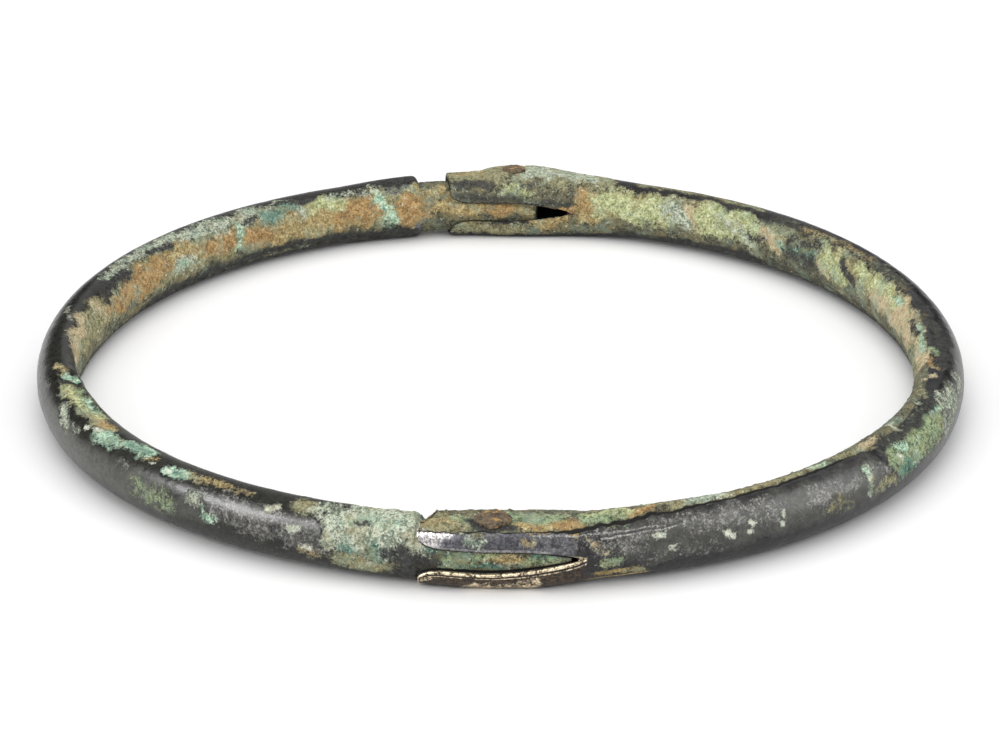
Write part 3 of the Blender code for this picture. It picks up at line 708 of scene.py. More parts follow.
def corroded_skin():
    """Geometry nodes: crust standing on the skin, pits in it and a slight unevenness, kept inside the box."""
    tree, given, result = new_tree("corroded skin", "GeometryNodeTree", {
        "Geometry": "Geometry", "Crust height": 0.0, "Crust lump size": 0.0, "Pit depth": 0.0, "Pit size": 0.0,
        "Unevenness": 0.0, "Shift": 0.0, "Lowest corner": "Vector", "Highest corner": "Vector",
        "Material": "Material"}, "Geometry", "Geometry")
    place = node(tree, "GeometryNodeInputPosition")
    shifted = vector_maths("ADD", place, given["Shift"])

    def field(size, detail, shift):
        return noise(shifted, size, detail, 0.6, shift)

    def mark(name):
        return node(tree, "GeometryNodeInputNamedAttribute", {"Name": name}, data_type="FLOAT")

    ragged = mark("crust") + (field(given["Crust lump size"] * 2.2, 4.0, 0.5) - 0.5) * 1.1
    crust = soft_step(ragged, 0.42, 0.60)
    rise = crust * (field(given["Crust lump size"], 4.0, 1.3) * 2.0 - 0.35) * given["Crust height"]
    pits = soft_step(field(given["Pit size"], 3.0, 2.1), 0.60, 0.74) * given["Pit depth"]
    pits = pits * maths("MAXIMUM", mark("rough"), crust)
    wavy = (field(given["Pit size"] * 4.0, 2.0, 3.7) - 0.5) * given["Unevenness"]
    total = (rise - pits + wavy) * maths("SUBTRACT", 1.0, mark("inside"), clamp=True)
    offset = node(tree, "ShaderNodeVectorMath", {0: node(tree, "GeometryNodeInputNormal"), "Scale": total},
                  operation="SCALE")
    moved = node(tree, "GeometryNodeSetPosition", {"Geometry": given["Geometry"], "Offset": offset})
    inside = vector_maths("MAXIMUM", place, given["Lowest corner"])
    inside = vector_maths("MINIMUM", inside, given["Highest corner"])
    kept = node(tree, "GeometryNodeSetPosition", {"Geometry": moved, "Position": inside})
    real = node(tree, "GeometryNodeRealizeInstances", {"Geometry": kept})
    join(node(tree, "GeometryNodeSetMaterial", {"Geometry": real, "Material": given["Material"]}), result)
    return tree


def worked(name, mesh, steps):
    """Runs geometry node trees with their named values on a mesh and returns the plain piece."""
    piece = bpy.data.objects.new(name, mesh)
    bpy.context.collection.objects.link(piece)
    for tree, values in steps:
        modifier = piece.modifiers.new(tree.name, "NODES")
        modifier.node_group = tree
        sockets = {item.name: item.identifier for item in tree.interface.items_tree if item.in_out == "INPUT"}
        for label, value in values.items():
            modifier[sockets[label]] = value
    bpy.context.view_layer.update()
    depsgraph = bpy.context.evaluated_depsgraph_get()
    plain = bpy.data.meshes.new_from_object(piece.evaluated_get(depsgraph), preserve_all_data_layers=True,
                                            depsgraph=depsgraph)
    piece.modifiers.clear()
    piece.data = plain
    plain.name = name
    bpy.data.meshes.remove(mesh)
    return piece


# Where the corrosion and the wear lie, and the painted highlight, sheen and shade

# The marks of each finish run from one place on the ring to another: plan angle and turn at the start and at
# the end in degrees, half the width in millimetres, and how much of it is there.
PLUG_HALF_MARKS = {
    # film_and_sheen: a lighter grey-olive film on the skin, laid mostly along the band where the broad sheen falls,
    # so partly painted sheen
    "film_and_sheen": [(106, 14, 170, 8, 1.6, 0.7), (200, 4, 226, 6, 1.5, 0.8), (226, 4, 233, 0, 0.7, 0.6)],
    # haze_and_highlight: whitish speckle and scratches on the skin, laid along the band where the highlight falls,
    # so partly painted highlight
    "haze_and_highlight": [(118, 34, 150, 30, 0.9, 0.5), (246.8, 30, 248.8, 30, 0.5, 0.8), (236.5, 28, 248.8, 6, 1.5, 0.75),
        (231.8, 30, 239, 30, 0.8, 0.5), (219.2, 38, 220.3, 38, 0.4, 0.5), (193.8, 42, 195.8, 44, 0.4, 0.5)],
    "grey": [(106.5, 130, 103.5, 140, 0.7, 0.9), (102.8, -158, 97.5, -146, 0.7, 0.8)],
    "silt": [(178, 152, 104, 158, 1.9, 1)],
    "olive": [(140, -8, 150, -2, 0.7, 0.5), (251.5, -24, 257.8, -28, 0.8, 0.9), (246, 72, 247.5, 68, 0.8, 0.8),
        (206.8, 82, 210.8, 80, 0.9, 0.9), (198.4, 84, 209, 92, 1.1, 0.9), (204.2, 84, 209.8, 88, 0.7, 0.8)],
    "ochre": [(134, -30, 142, -34, 0.5, 0.5), (246.8, -14, 249, -18, 0.5, 0.45), (230, 74, 236, 70, 0.55, 0.7),
        (237.2, 70, 239.3, 68, 0.4, 0.5), (222.8, 74, 224, 80, 0.5, 0.7), (211, 78, 214.2, 84, 0.6, 0.8),
        (216, 74, 219, 80, 0.3, 0.6), (192, 78, 194.5, 84, 0.5, 0.7), (177.2, 138, 181.5, 138, 0.7, 0.9),
        (147.5, 144, 141.8, 148, 1, 0.95), (126.3, 180, 123.2, 176, 1, 1), (121.5, 170, 110.5, 156, 1.9, 1),
        (103, 130, 99.2, 124, 0.7, 0.8), (99.5, 164, 85.5, 172, 1.1, 0.9), (268.5, 0, 272.8, -4, 0.5, 0.7)],
    "rust": [(199, 84, 201, 90, 0.55, 0.75), (208, 88, 212, 84, 0.6, 0.8), (166, 150, 160.8, 174, 0.9, 0.9),
        (159.5, 160, 150.5, 154, 1.5, 1), (139.5, 162, 134.8, 154, 1.1, 1), (131.8, 168, 128, 172, 1, 1),
        (114.8, 158, 111, 160, 1.5, 0.9), (105.5, 176, 102, 172, 1.2, 0.95), (105.5, 156, 102, 180, 0.9, 0.9),
        (91.5, 176, 89, 178, 0.6, 0.9)],
    "beige": [(259, 36, 260.2, 30, 0.7, 0.9), (176.2, 128, 185.8, 132, 1.3, 0.8), (169.2, 134, 168, 152, 1, 0.6)],
    "lime": [(198.2, 86, 209, 96, 0.9, 0.7), (121, 130, 115, 134, 0.8, 0.9)],
    "sage": [(127, 40, 131, 30, 0.5, 0.7), (254.7, 76, 259.8, 90, 2.2, 1), (252, 36, 259.8, 44, 2.4, 1),
        (253.5, 12, 257, 10, 1.6, 0.65), (249.8, 66, 252.2, 26, 1.6, 0.7), (231.5, 28, 232.5, 28, 0.6, 0.7),
        (203, 48, 205.8, 30, 0.7, 0.75), (207.2, 36, 209, 34, 0.4, 0.4), (172.8, 76, 177.2, 96, 0.4, 0.4),
        (146.5, 166, 143, 174, 0.9, 0.8), (161.8, 96, 151.5, 98, 0.9, 0.7), (149.2, 98, 121.5, 128, 1.1, 0.8),
        (116.5, 118, 109, 116, 0.6, 0.5), (269.5, -16, 271.2, -18, 0.3, 0.6)],
    "green": [(111, 20, 118, 4, 0.7, 0.6), (223, 2, 228.2, 6, 0.9, 0.58), (199.5, 106, 206.5, 104, 0.55, 0.8),
        (264.2, -6, 266, -12, 0.6, 0.75), (266.3, 2, 269, 6, 0.4, 0.6), (273, -8, 276, -4, 0.4, 0.6)],
    "mint": [(159, 26, 162.5, 12, 0.5, 0.6), (252.2, 54, 258.2, 62, 0.7, 0.5), (233.5, 24, 233.8, 10, 0.16, 0.7),
        (234, 2, 235.3, 6, 0.4, 0.75), (227, 61, 229.6, 68, 0.5, 1), (213, 56, 222.2, 86, 0.75, 0.85),
        (216.5, 46, 217, 46, 0.25, 0.6), (195, 88, 196, 116, 0.6, 1), (202.5, 108, 207.5, 108, 0.35, 0.7),
        (145.5, 168, 143.8, 170, 0.5, 0.6), (132.8, 130, 133.2, 184, 0.6, 0.8), (109.5, 140, 107, 190, 0.8, 0.9)],
    "teal": [(255.5, 2, 256, 2, 0.6, 0.9), (252, 0, 252.5, -4, 0.4, 0.8), (227.8, 63, 228.8, 66, 0.25, 0.7),
        (218.5, 76, 222, 84, 0.4, 0.6), (128.2, 128, 123.5, 128, 0.8, 0.8), (261.5, 16, 266, 8, 0.5, 0.6),
        (263, -14, 270, -20, 0.4, 0.6), (273.5, 4, 277, 6, 0.4, 0.6)],
    "cream": [(146, 22, 146.6, 18, 0.22, 0.9), (242.2, 46, 243.2, 52, 0.36, 1), (245.5, 22, 246.2, 24, 0.36, 0.8),
        (247, -8, 248, -8, 0.3, 0.7), (226.9, 60, 227.4, 62, 0.22, 0.9), (229.2, 69, 229.6, 69, 0.2, 0.8),
        (211.5, 62, 213, 66, 0.3, 0.8), (210, 54, 210.5, 56, 0.22, 0.8), (224, 62, 224.5, 64, 0.18, 0.9)],
    "dark": [(253.3, 50, 254.7, 50, 0.3, 0.8), (258.5, -2, 260.8, -18, 1.3, 1), (258, -40, 260.8, -40, 1, 1),
        (196.4, 74, 197.4, 114, 0.28, 1), (166, 124, 158, 118, 0.8, 1), (150.5, 114, 146.2, 118, 0.5, 0.8),
        (124.8, 110, 119, 110, 0.5, 0.9), (131.5, 130, 129.8, 130, 0.5, 0.8), (153.5, -134, 122.2, -146, 0.8, 0.85),
        (120.5, -146, 102.5, -130, 0.8, 0.9), (107.8, 86, 103, 100, 0.9, 1), (260.5, 0, 262.5, -12, 0.8, 0.7)],
}
SOCKET_HALF_MARKS = {
    # film_and_sheen: a lighter grey-olive film on the skin, laid mostly along the band where the broad sheen falls,
    # so partly painted sheen
    "film_and_sheen": [(-76, 20, -42, 22, 1.6, 0.68), (-76, 52, -42, 50, 0.9, 0.5), (70, 10, 12, 14, 1.6, 0.7),
        (92, 20, 76, 16, 1.2, 0.6), (-6, 36, -30, 14, 1.3, 0.8)],
    # haze_and_highlight: whitish speckle and scratches on the skin, laid along the band where the highlight falls,
    # so partly painted highlight
    "haze_and_highlight": [(-9, 54, -15.5, 20, 0.7, 0.75), (-40.8, 40, -39.8, 26, 0.5, 0.8), (-52.2, 32, -45.8, 32, 0.8, 0.7),
        (-59.2, 52, -57.8, 32, 0.9, 0.5), (-83.5, 36, -74.5, 16, 1, 0.6), (-72.5, 54, -67, 56, 0.6, 0.7),
        (-68.5, 36, -62.8, 44, 1, 0.8), (-62.2, 68, -60, 38, 0.35, 0.6), (-61.8, 48, -59.8, 62, 0.25, 0.5),
        (-60.5, 50, -59, 20, 0.6, 0.6), (-74.5, -12, -65.2, -6, 0.6, 0.3), (66, 40, 40, 36, 0.9, 0.5),
        (-91.5, 38, -90.4, 38, 0.2, 1), (-86.8, 32, -80.2, 26, 0.7, 0.6)],
    "grey": [(-93, 50, -86, 50, 0.4, 0.6), (-97.5, 26, -94, 24, 0.8, 0.8), (-91.2, 32, -84, 26, 1, 0.5)],
    "earth": [(46, 108, 14, 98, 0.8, 0.5)],
    "silt": [(74, 152, -8, 150, 1.7, 1)],
    "brown": [(-100.5, -46, -82, -42, 1.3, 1)],
    "olive": [(96.8, 92, 75.5, 94, 2, 0.9), (96.8, -156, 87.2, -132, 0.9, 0.9), (69.8, 80, 50, 90, 0.8, 0.7),
        (-18.5, 126, -23.2, 74, 0.6, 0.6), (-41, 4, -38.5, -2, 0.7, 0.7), (-50, 8, -47.8, 6, 0.8, 0.5),
        (-72, 96, -67.8, 92, 0.7, 0.9), (-61, 97, -52.2, 97, 0.5, 0.7), (-46.2, 100, -39.5, 86, 0.5, 0.7),
        (-99, 70, -93.5, 74, 1.5, 0.9), (36, 12, 27, -6, 0.8, 0.5)],
    "ochre": [(96.2, 82, 93, 82, 0.8, 0.8), (84.8, -166, 81, -168, 0.8, 1), (77, 176, 73, 170, 1.3, 0.9),
        (71.2, 140, 67.2, 138, 0.9, 0.9), (68.2, 162, 65.5, 162, 0.7, 0.7), (41.5, 108, 25.8, 100, 0.5, 0.5),
        (5, 98, -2, 92, 0.4, 0.7), (-85.2, 56, -82, 54, 0.6, 1), (-79.2, -38, -73.8, -34, 0.35, 0.8),
        (-98.5, 62, -95, 84, 1, 0.5), (-88.2, 56, -84.2, 56, 0.55, 0.9), (15, -28, 6, -20, 0.6, 0.6),
        (-87.5, 28, -86.6, 26, 0.4, 0.6)],
    "rust": [(81, 176, 78.5, 174, 0.35, 1), (77.5, 152, 74.8, 152, 0.8, 0.9), (-10, 104, -12.8, 90, 0.6, 1),
        (-83.5, 50, -81.2, 56, 0.4, 0.9), (-82.2, 62, -80.8, 64, 0.6, 0.8), (-75, 80, -72.4, 86, 0.5, 1),
        (-87, 54, -85.4, 54, 0.3, 0.6)],
    "beige": [(60.8, 142, 57.5, 160, 1, 0.9), (47.2, 142, 44.8, 170, 0.7, 0.95), (35.5, 166, 32.8, 170, 0.8, 0.9),
        (20.2, 150, 5, 152, 1.6, 1), (1.8, 140, -9.2, 136, 0.9, 1), (-16, 108, -15.5, 92, 0.5, 0.9),
        (-40.8, 96, -36.8, 90, 0.4, 0.6), (-80.2, 28, -78.8, 16, 0.5, 0.45)],
    "lime": [(89.5, 146, 85.5, 142, 0.6, 0.6), (73.8, 158, 65, 156, 1.8, 0.9), (57, 150, 50.3, 150, 1.9, 1),
        (34.8, 138, 29.5, 168, 1.2, 0.9), (26.3, 136, 13, 134, 0.9, 0.95), (7, 140, -3.5, 134, 0.5, 0.6),
        (-35.8, 34, -29, 48, 0.9, 0.9), (-79.8, 88, -75.5, 90, 0.7, 0.8)],
    "sage": [(87.2, 92, 77, 90, 1.2, 0.8), (64, 144, 61.5, 170, 1, 0.9), (55, 148, 49.2, 174, 1, 0.6),
        (-24.2, 108, -24.8, 90, 0.3, 0.8), (-33, 104, -33.2, 84, 0.6, 0.85), (-13, 36, -24, 10, 0.9, 0.5),
        (-23, 58, -18.5, 46, 0.8, 0.8), (-43, 42, -43.2, 4, 0.5, 0.9), (-67.5, 94, -62, 93, 0.6, 1),
        (-88.5, 88, -85, 76, 0.6, 0.7), (49, 34, 45, 26, 0.4, 0.7), (-94, 30, -92.5, 28, 0.6, 0.6)],
    "green": [(-6, 114, -8.5, 92, 0.5, 1), (-36.5, 40, -26.2, 46, 1.9, 1), (-80.5, 76, -77, 70, 0.9, 0.9),
        (-78.8, -10, -77.2, -12, 0.5, 0.7), (-95.2, 92, -93, 60, 0.6, 0.8), (-89.2, 92, -84, 78, 1.1, 0.9),
        (58, 22, 51, 8, 0.7, 0.6), (82, 40, 78, 30, 0.6, 0.6)],
    "mint": [(44.5, 164, 42.8, 170, 0.6, 0.8), (14.5, 130, 11.5, 130, 0.4, 0.8), (3.5, 126, -6, 128, 0.35, 0.8),
        (-25.8, 60, -22.8, 48, 0.4, 0.9), (-36.2, 54, -35.2, 38, 0.6, 1), (-43.5, 42, -43.2, 36, 0.3, 0.9),
        (-50.2, 104, -47.8, 94, 0.4, 0.8), (22, 30, 18.5, 16, 0.5, 0.6)],
    "teal": [(41.5, 162, 36.5, 166, 0.8, 0.6), (-36.5, 10, -33.8, 6, 0.6, 0.8)],
    "cream": [(-36.5, 76, -36.2, 70, 0.25, 0.9), (-56.8, 28, -56.8, 22, 0.22, 1), (-57.2, 12, -57, 6, 0.22, 1),
        (-36.8, 32, -36.5, 28, 0.3, 0.8), (-72.8, 32, -71.8, 32, 0.4, 0.6), (-70.8, 6, -70.2, 4, 0.3, 0.5),
        (-64.4, 16, -63.9, 8, 0.32, 1), (-61.2, 22, -60.8, 18, 0.24, 1), (-61.5, 8, -61.2, 6, 0.2, 1),
        (60.5, 44, 60, 40, 0.22, 0.9)],
    # the last dark mark is painted shadow just under the front pin's head
    "dark": [(96.8, 130, 91.8, 126, 0.5, 0.8), (97, 152, 87, 156, 0.35, 0.6), (85.5, 128, 84.2, 122, 0.5, 0.6),
        (83.5, 164, 79.5, 164, 0.4, 0.6), (96.2, -118, 71.8, -120, 0.6, 1), (49.5, 158, 47.2, 166, 0.7, 0.7),
        (43, 172, 36, 178, 0.8, 0.7), (41.8, 138, 36.2, 140, 0.8, 0.7), (30.5, 144, 26.3, 172, 0.6, 0.95),
        (9.5, 94, -4, 90, 0.7, 0.9), (5.8, 136, 1.2, 136, 0.5, 0.8), (71.8, -118, 47.8, -140, 0.7, 0.9),
        (47.8, -140, 21.2, -136, 0.5, 0.5), (59.8, 102, 41.2, 114, 0.5, 0.7), (2, 84, -12, 80, 0.9, 0.9),
        (-38.8, 70, -22, 70, 0.8, 0.9), (-93.9, 80, -93, 52, 0.45, 0.9), (-92.3, 53, -88.6, 51, 0.35, 1)],
    "worn": [(-99, 30, -97.4, 26, 0.9, 1), (-98.5, 38, -95.8, 34, 0.4, 0.8)],
    "gold": [(-94, -52, -86, -48, 0.5, 0.8), (-100, -44, -98, -36, 0.2, 0.7)],
}
# Thin lines of a finish: half the width in millimetres, then plan angles and turns on the way
SOCKET_HALF_LINES = {
    "dark": [(0.05, -80.5, 34, -76.5, 39, -71, 43.5), (0.06, -37, 66, -30, 70, -24, 74, -16, 82, -8, 88)],
    # painted highlight: thin whitish lines along the ridge of the skin on the front right
    "haze_and_highlight": [(0.05, -86.5, 38, -83.5, 37, -81, 40, -77.5, 43, -72.2, 47), (0.05, -79, 33, -75, 37, -69, 42)],
    "ochre": [(0.10, -80.5, -56, -76, -50, -73, -44)],
}
# Lips that are worn bright: from and to a plan angle, from and to a turn, share
SOCKET_HALF_LIPS = {
    "worn": [(-102, -97, 4, 66, 1.0), (-97, -84, 4, 40, 0.35)],
    "gold": [(-102, -79, -80, 6, 1.0)],
}
# Finishes from the lowest to the topmost: darker colour, lighter colour, roughness, metal share, relief share
FINISHES = {
    # film_and_sheen and haze_and_highlight are partly painted light: a broad sheen and a highlight
    "film_and_sheen": ((0.060, 0.061, 0.053), (0.110, 0.111, 0.094), 0.36, 0.0, 0.0),
    "haze_and_highlight": ((0.13, 0.13, 0.122), (0.50, 0.49, 0.46), 0.45, 0.0, 0.0),
    "grey": ((0.05, 0.05, 0.06), (0.22, 0.22, 0.25), 0.55, 0.0, 0.1),
    "earth": ((0.035, 0.036, 0.023), (0.23, 0.22, 0.13), 0.85, 0.0, 0.5),
    "silt": ((0.14, 0.135, 0.07), (0.46, 0.43, 0.23), 0.90, 0.0, 0.5),
    "brown": ((0.010, 0.007, 0.005), (0.095, 0.068, 0.045), 0.40, 0.2, 0.1),
    "olive": ((0.12, 0.11, 0.05), (0.46, 0.44, 0.25), 0.85, 0.0, 0.5),
    "ochre": ((0.22, 0.15, 0.06), (0.62, 0.49, 0.22), 0.90, 0.0, 0.7),
    "rust": ((0.24, 0.13, 0.05), (0.57, 0.38, 0.15), 0.90, 0.0, 0.8),
    "beige": ((0.38, 0.29, 0.16), (0.80, 0.68, 0.43), 0.85, 0.0, 0.6),
    "lime": ((0.28, 0.31, 0.13), (0.72, 0.76, 0.42), 0.90, 0.0, 0.7),
    "sage": ((0.13, 0.17, 0.115), (0.68, 0.73, 0.57), 0.60, 0.0, 0.8),
    "green": ((0.06, 0.10, 0.045), (0.45, 0.55, 0.31), 0.90, 0.0, 0.9),
    "mint": ((0.13, 0.27, 0.18), (0.66, 0.88, 0.67), 0.90, 0.0, 0.9),
    "teal": ((0.02, 0.08, 0.06), (0.15, 0.33, 0.25), 0.85, 0.0, 0.5),
    "cream": ((0.45, 0.47, 0.37), (0.90, 0.92, 0.78), 0.80, 0.0, 0.3),
    "dark": ((0.010, 0.010, 0.009), (0.05, 0.05, 0.045), 0.60, 0.0, 0.0),
    "worn": ((0.24, 0.225, 0.225), (0.80, 0.77, 0.75), 0.35, 0.85, 0.0),
    "gold": ((0.07, 0.05, 0.03), (0.98, 0.83, 0.58), 0.38, 0.8, 0.0),
}
SOFT_EDGED_FINISHES = ("film_and_sheen", "grey")
BARE_FINISHES = ("dark", "brown", "worn", "gold")


def uneven(places, size, seed):
    """A soft field over the straight half, about -1 to 1, whose lumps are about size across."""
    rng = np.random.default_rng(seed)
    total = np.zeros(len(places))
    for _ in range(12):
        direction = rng.normal(size=3)
        direction *= pi / (size * (0.6 + 0.9 * rng.random())) / np.linalg.norm(direction)
        total += np.sin(places @ direction + ANY_START * rng.random())
    return total / 3.6


def off_line(degrees, turned, shake, angle_a, turn_a, angle_b, turn_b):
    """How many millimetres each place is off a straight line on the ring, from one place to another."""
    along_mm, round_mm = RING_RADIUS / MM * pi / 180.0, SECTION_RADIUS / MM * pi / 180.0
    x = ((degrees - 0.5 * (angle_a + angle_b) + 180.0) % 360.0 - 180.0) * along_mm + shake[0]
    y = ((turned - 0.5 * (turn_a + turn_b) + 180.0) % 360.0 - 180.0) * round_mm + shake[1]
    run = np.array(((angle_b - angle_a) * along_mm, (turn_b - turn_a) * round_mm))
    share_along = np.clip((x * run[0] + y * run[1]) / max(float(run @ run), 1e-9), -0.5, 0.5)
    return np.hypot(x - share_along * run[0], y - share_along * run[1])


def paint_marks(mesh, places, angle, turn, marks, lines, lips):
    """One attribute for each finish, from its marks with shaken outlines, and how thick the crust is there."""
    degrees, turned = np.degrees(angle), np.degrees(turn)
    shake = np.array([0.7 * uneven(places, 1.7 * MM, seed) + 0.3 * uneven(places, 0.6 * MM, seed + 1)
                      for seed in (41, 51)])
    for finish in SOCKET_HALF_LINES:
        drawn = np.zeros(len(angle))
        for half_width, *way in lines.get(finish, ()):
            stops = list(zip(way[::2], way[1::2]))
            for start, end in zip(stops, stops[1:]):
                off = off_line(degrees, turned, 0.08 * shake, *start, *end)
                drawn = np.maximum(drawn, np.clip(1.0 + half_width - off, 0.0, 1.3))
        store(mesh, finish + " line", drawn)
    for finish in SOCKET_HALF_LIPS:
        bright = np.zeros(len(angle))
        for from_angle, to_angle, from_turn, to_turn, share in lips.get(finish, ()):
            begun = smooth(degrees, from_angle, from_angle + 1.0) * smooth(turned, from_turn, from_turn + 4.0)
            ended_along = smooth(degrees, to_angle - 1.5, to_angle)
            ended_round = smooth(turned, to_turn - 6.0, to_turn)
            bright = np.maximum(bright, share * begun * (1.0 - ended_along) * (1.0 - ended_round))
        store(mesh, finish + " lip", bright)
    crust = np.zeros(len(angle))
    for finish, (_, _, _, _, relief) in FINISHES.items():
        cover = np.zeros(len(angle))
        for *ends, half_width, share in marks.get(finish, ()):
            off = off_line(degrees, turned, min(0.55, 0.6 * half_width) * shake, *ends)
            soft = min(0.9, 0.85 * half_width)
            cover = np.maximum(cover, share * (1.0 - smooth(off, half_width - soft, half_width + soft)))
        crust = np.maximum(crust, cover * min(1.0, relief * 1.2))
        store(mesh, finish, cover)
    return crust


def mark_out(mesh, rough, marks, lines, lips):
    """Attributes for the trees and the finishes: the marks, the crust, and a map along and round the ring."""
    places = np.empty(len(mesh.vertices) * 3)
    mesh.vertices.foreach_get("co", places)
    places = places.reshape(-1, 3)
    angle = places[:, 0] / RING_RADIUS
    turn = np.arctan2(places[:, 2] / TUBE_HALF_HEIGHT, places[:, 1] / TUBE_HALF_WIDTH)
    crust = paint_marks(mesh, places, angle, turn, marks, lines, lips)
    face, groove = read(mesh, "face"), read(mesh, "groove")
    store(mesh, "crust", np.maximum(crust, 0.75 * face) * (1.0 - groove))
    store(mesh, "rough", np.maximum(rough, 0.6 * face))
    corners = np.empty(len(mesh.loops), int)
    mesh.loops.foreach_get("vertex_index", corners)
    owner = np.repeat(np.arange(len(mesh.polygons)), [p.loop_total for p in mesh.polygons])
    round_turn = (turn[corners] - LOWER_EDGE_TURN) % tau
    highest = np.full(len(mesh.polygons), -1.0)
    np.maximum.at(highest, owner, round_turn)
    round_turn = np.where(highest[owner] - round_turn > pi, round_turn + tau, round_turn)
    mesh.uv_layers.new(name="ring").data.foreach_set("uv", np.stack(
        (places[corners, 0], round_turn * SECTION_RADIUS), -1).astype(np.float32).ravel())


# Materials

def ragged_patch():
    """A painted mark with a ragged, crumbly outline, and holes in it where it is thin."""
    tree, given, result = new_tree("ragged patch", "ShaderNodeTree", {
        "Mark": 0.0, "Noise": 0.5, "Raggedness": 0.8, "Softness": 0.08}, "Mask", "Float")
    shaken = (given["Noise"] - 0.5) * given["Raggedness"] + given["Mark"]
    mask = soft_step(shaken, 0.5 - given["Softness"], given["Softness"] + 0.5)
    join(mask * soft_step(given["Mark"], 0.02, 0.22), result)
    return tree


def flecks():
    """Small sharp-edged flecks or pits: the share of the surface that they take is set."""
    tree, given, result = new_tree("flecks", "ShaderNodeTree", {
        "Noise": 0.5, "Amount": 0.3, "Where": 1.0}, "Mask", "Float")
    level = 1.0 - given["Amount"]
    join(soft_step(given["Noise"], level, level + 0.10) * given["Where"], result)
    return tree


def fine_scratches():
    """Thin scratches that run along the ring, a little askew, from the ring's own map."""
    tree, given, result = new_tree("fine scratches", "ShaderNodeTree", {
        "Map": "Vector", "Lean": 0.1, "Thinness": 0.06 * MM, "Length": 1.5 * MM, "Amount": 0.4}, "Mask", "Float")
    x, y, _ = parts(node(tree, "ShaderNodeVectorRotate", {"Vector": given["Map"], "Angle": given["Lean"]},
                         rotation_type="Z_AXIS"))
    stretched = node(tree, "ShaderNodeCombineXYZ", {"X": x / given["Length"], "Y": y / given["Thinness"]})
    lines = node(tree, "ShaderNodeTexNoise", {"Vector": stretched, "Scale": 1.0, "Detail": 2.0})
    level = 1.0 - given["Amount"]
    join(soft_step(lines, level, level + 0.12), result)
    return tree


def mottle():
    """Two colours broken up by noise, with the contrast set."""
    tree, given, result = new_tree("mottle", "ShaderNodeTree", {
        "Darker": "Color", "Lighter": "Color", "Noise": 0.5, "Contrast": 2.0}, "Color", "Color")
    share = maths("MULTIPLY_ADD", given["Noise"] - 0.5, given["Contrast"], 0.5, clamp=True)
    join(mix_colour(share, given["Darker"], given["Lighter"]), result)
    return tree


def mix_colour(share, low, high):
    return node(share.tree, "ShaderNodeMix", {"Factor": share, 6: low, 7: high}, output=2, data_type="RGBA")


def fields(place, size, detail, shift, distortion=0.0):
    """Three different noise fields of one size."""
    made = noise(place, size, detail, 0.6, shift, distortion).socket.node
    return parts(Value(made.outputs["Color"]), "Color")


def new_material(name):
    """A node material, its tree and its shader's own inputs."""
    material = bpy.data.materials.new(name)
    material.use_nodes = True
    return material, material.node_tree, material.node_tree.nodes["Principled BSDF"].inputs


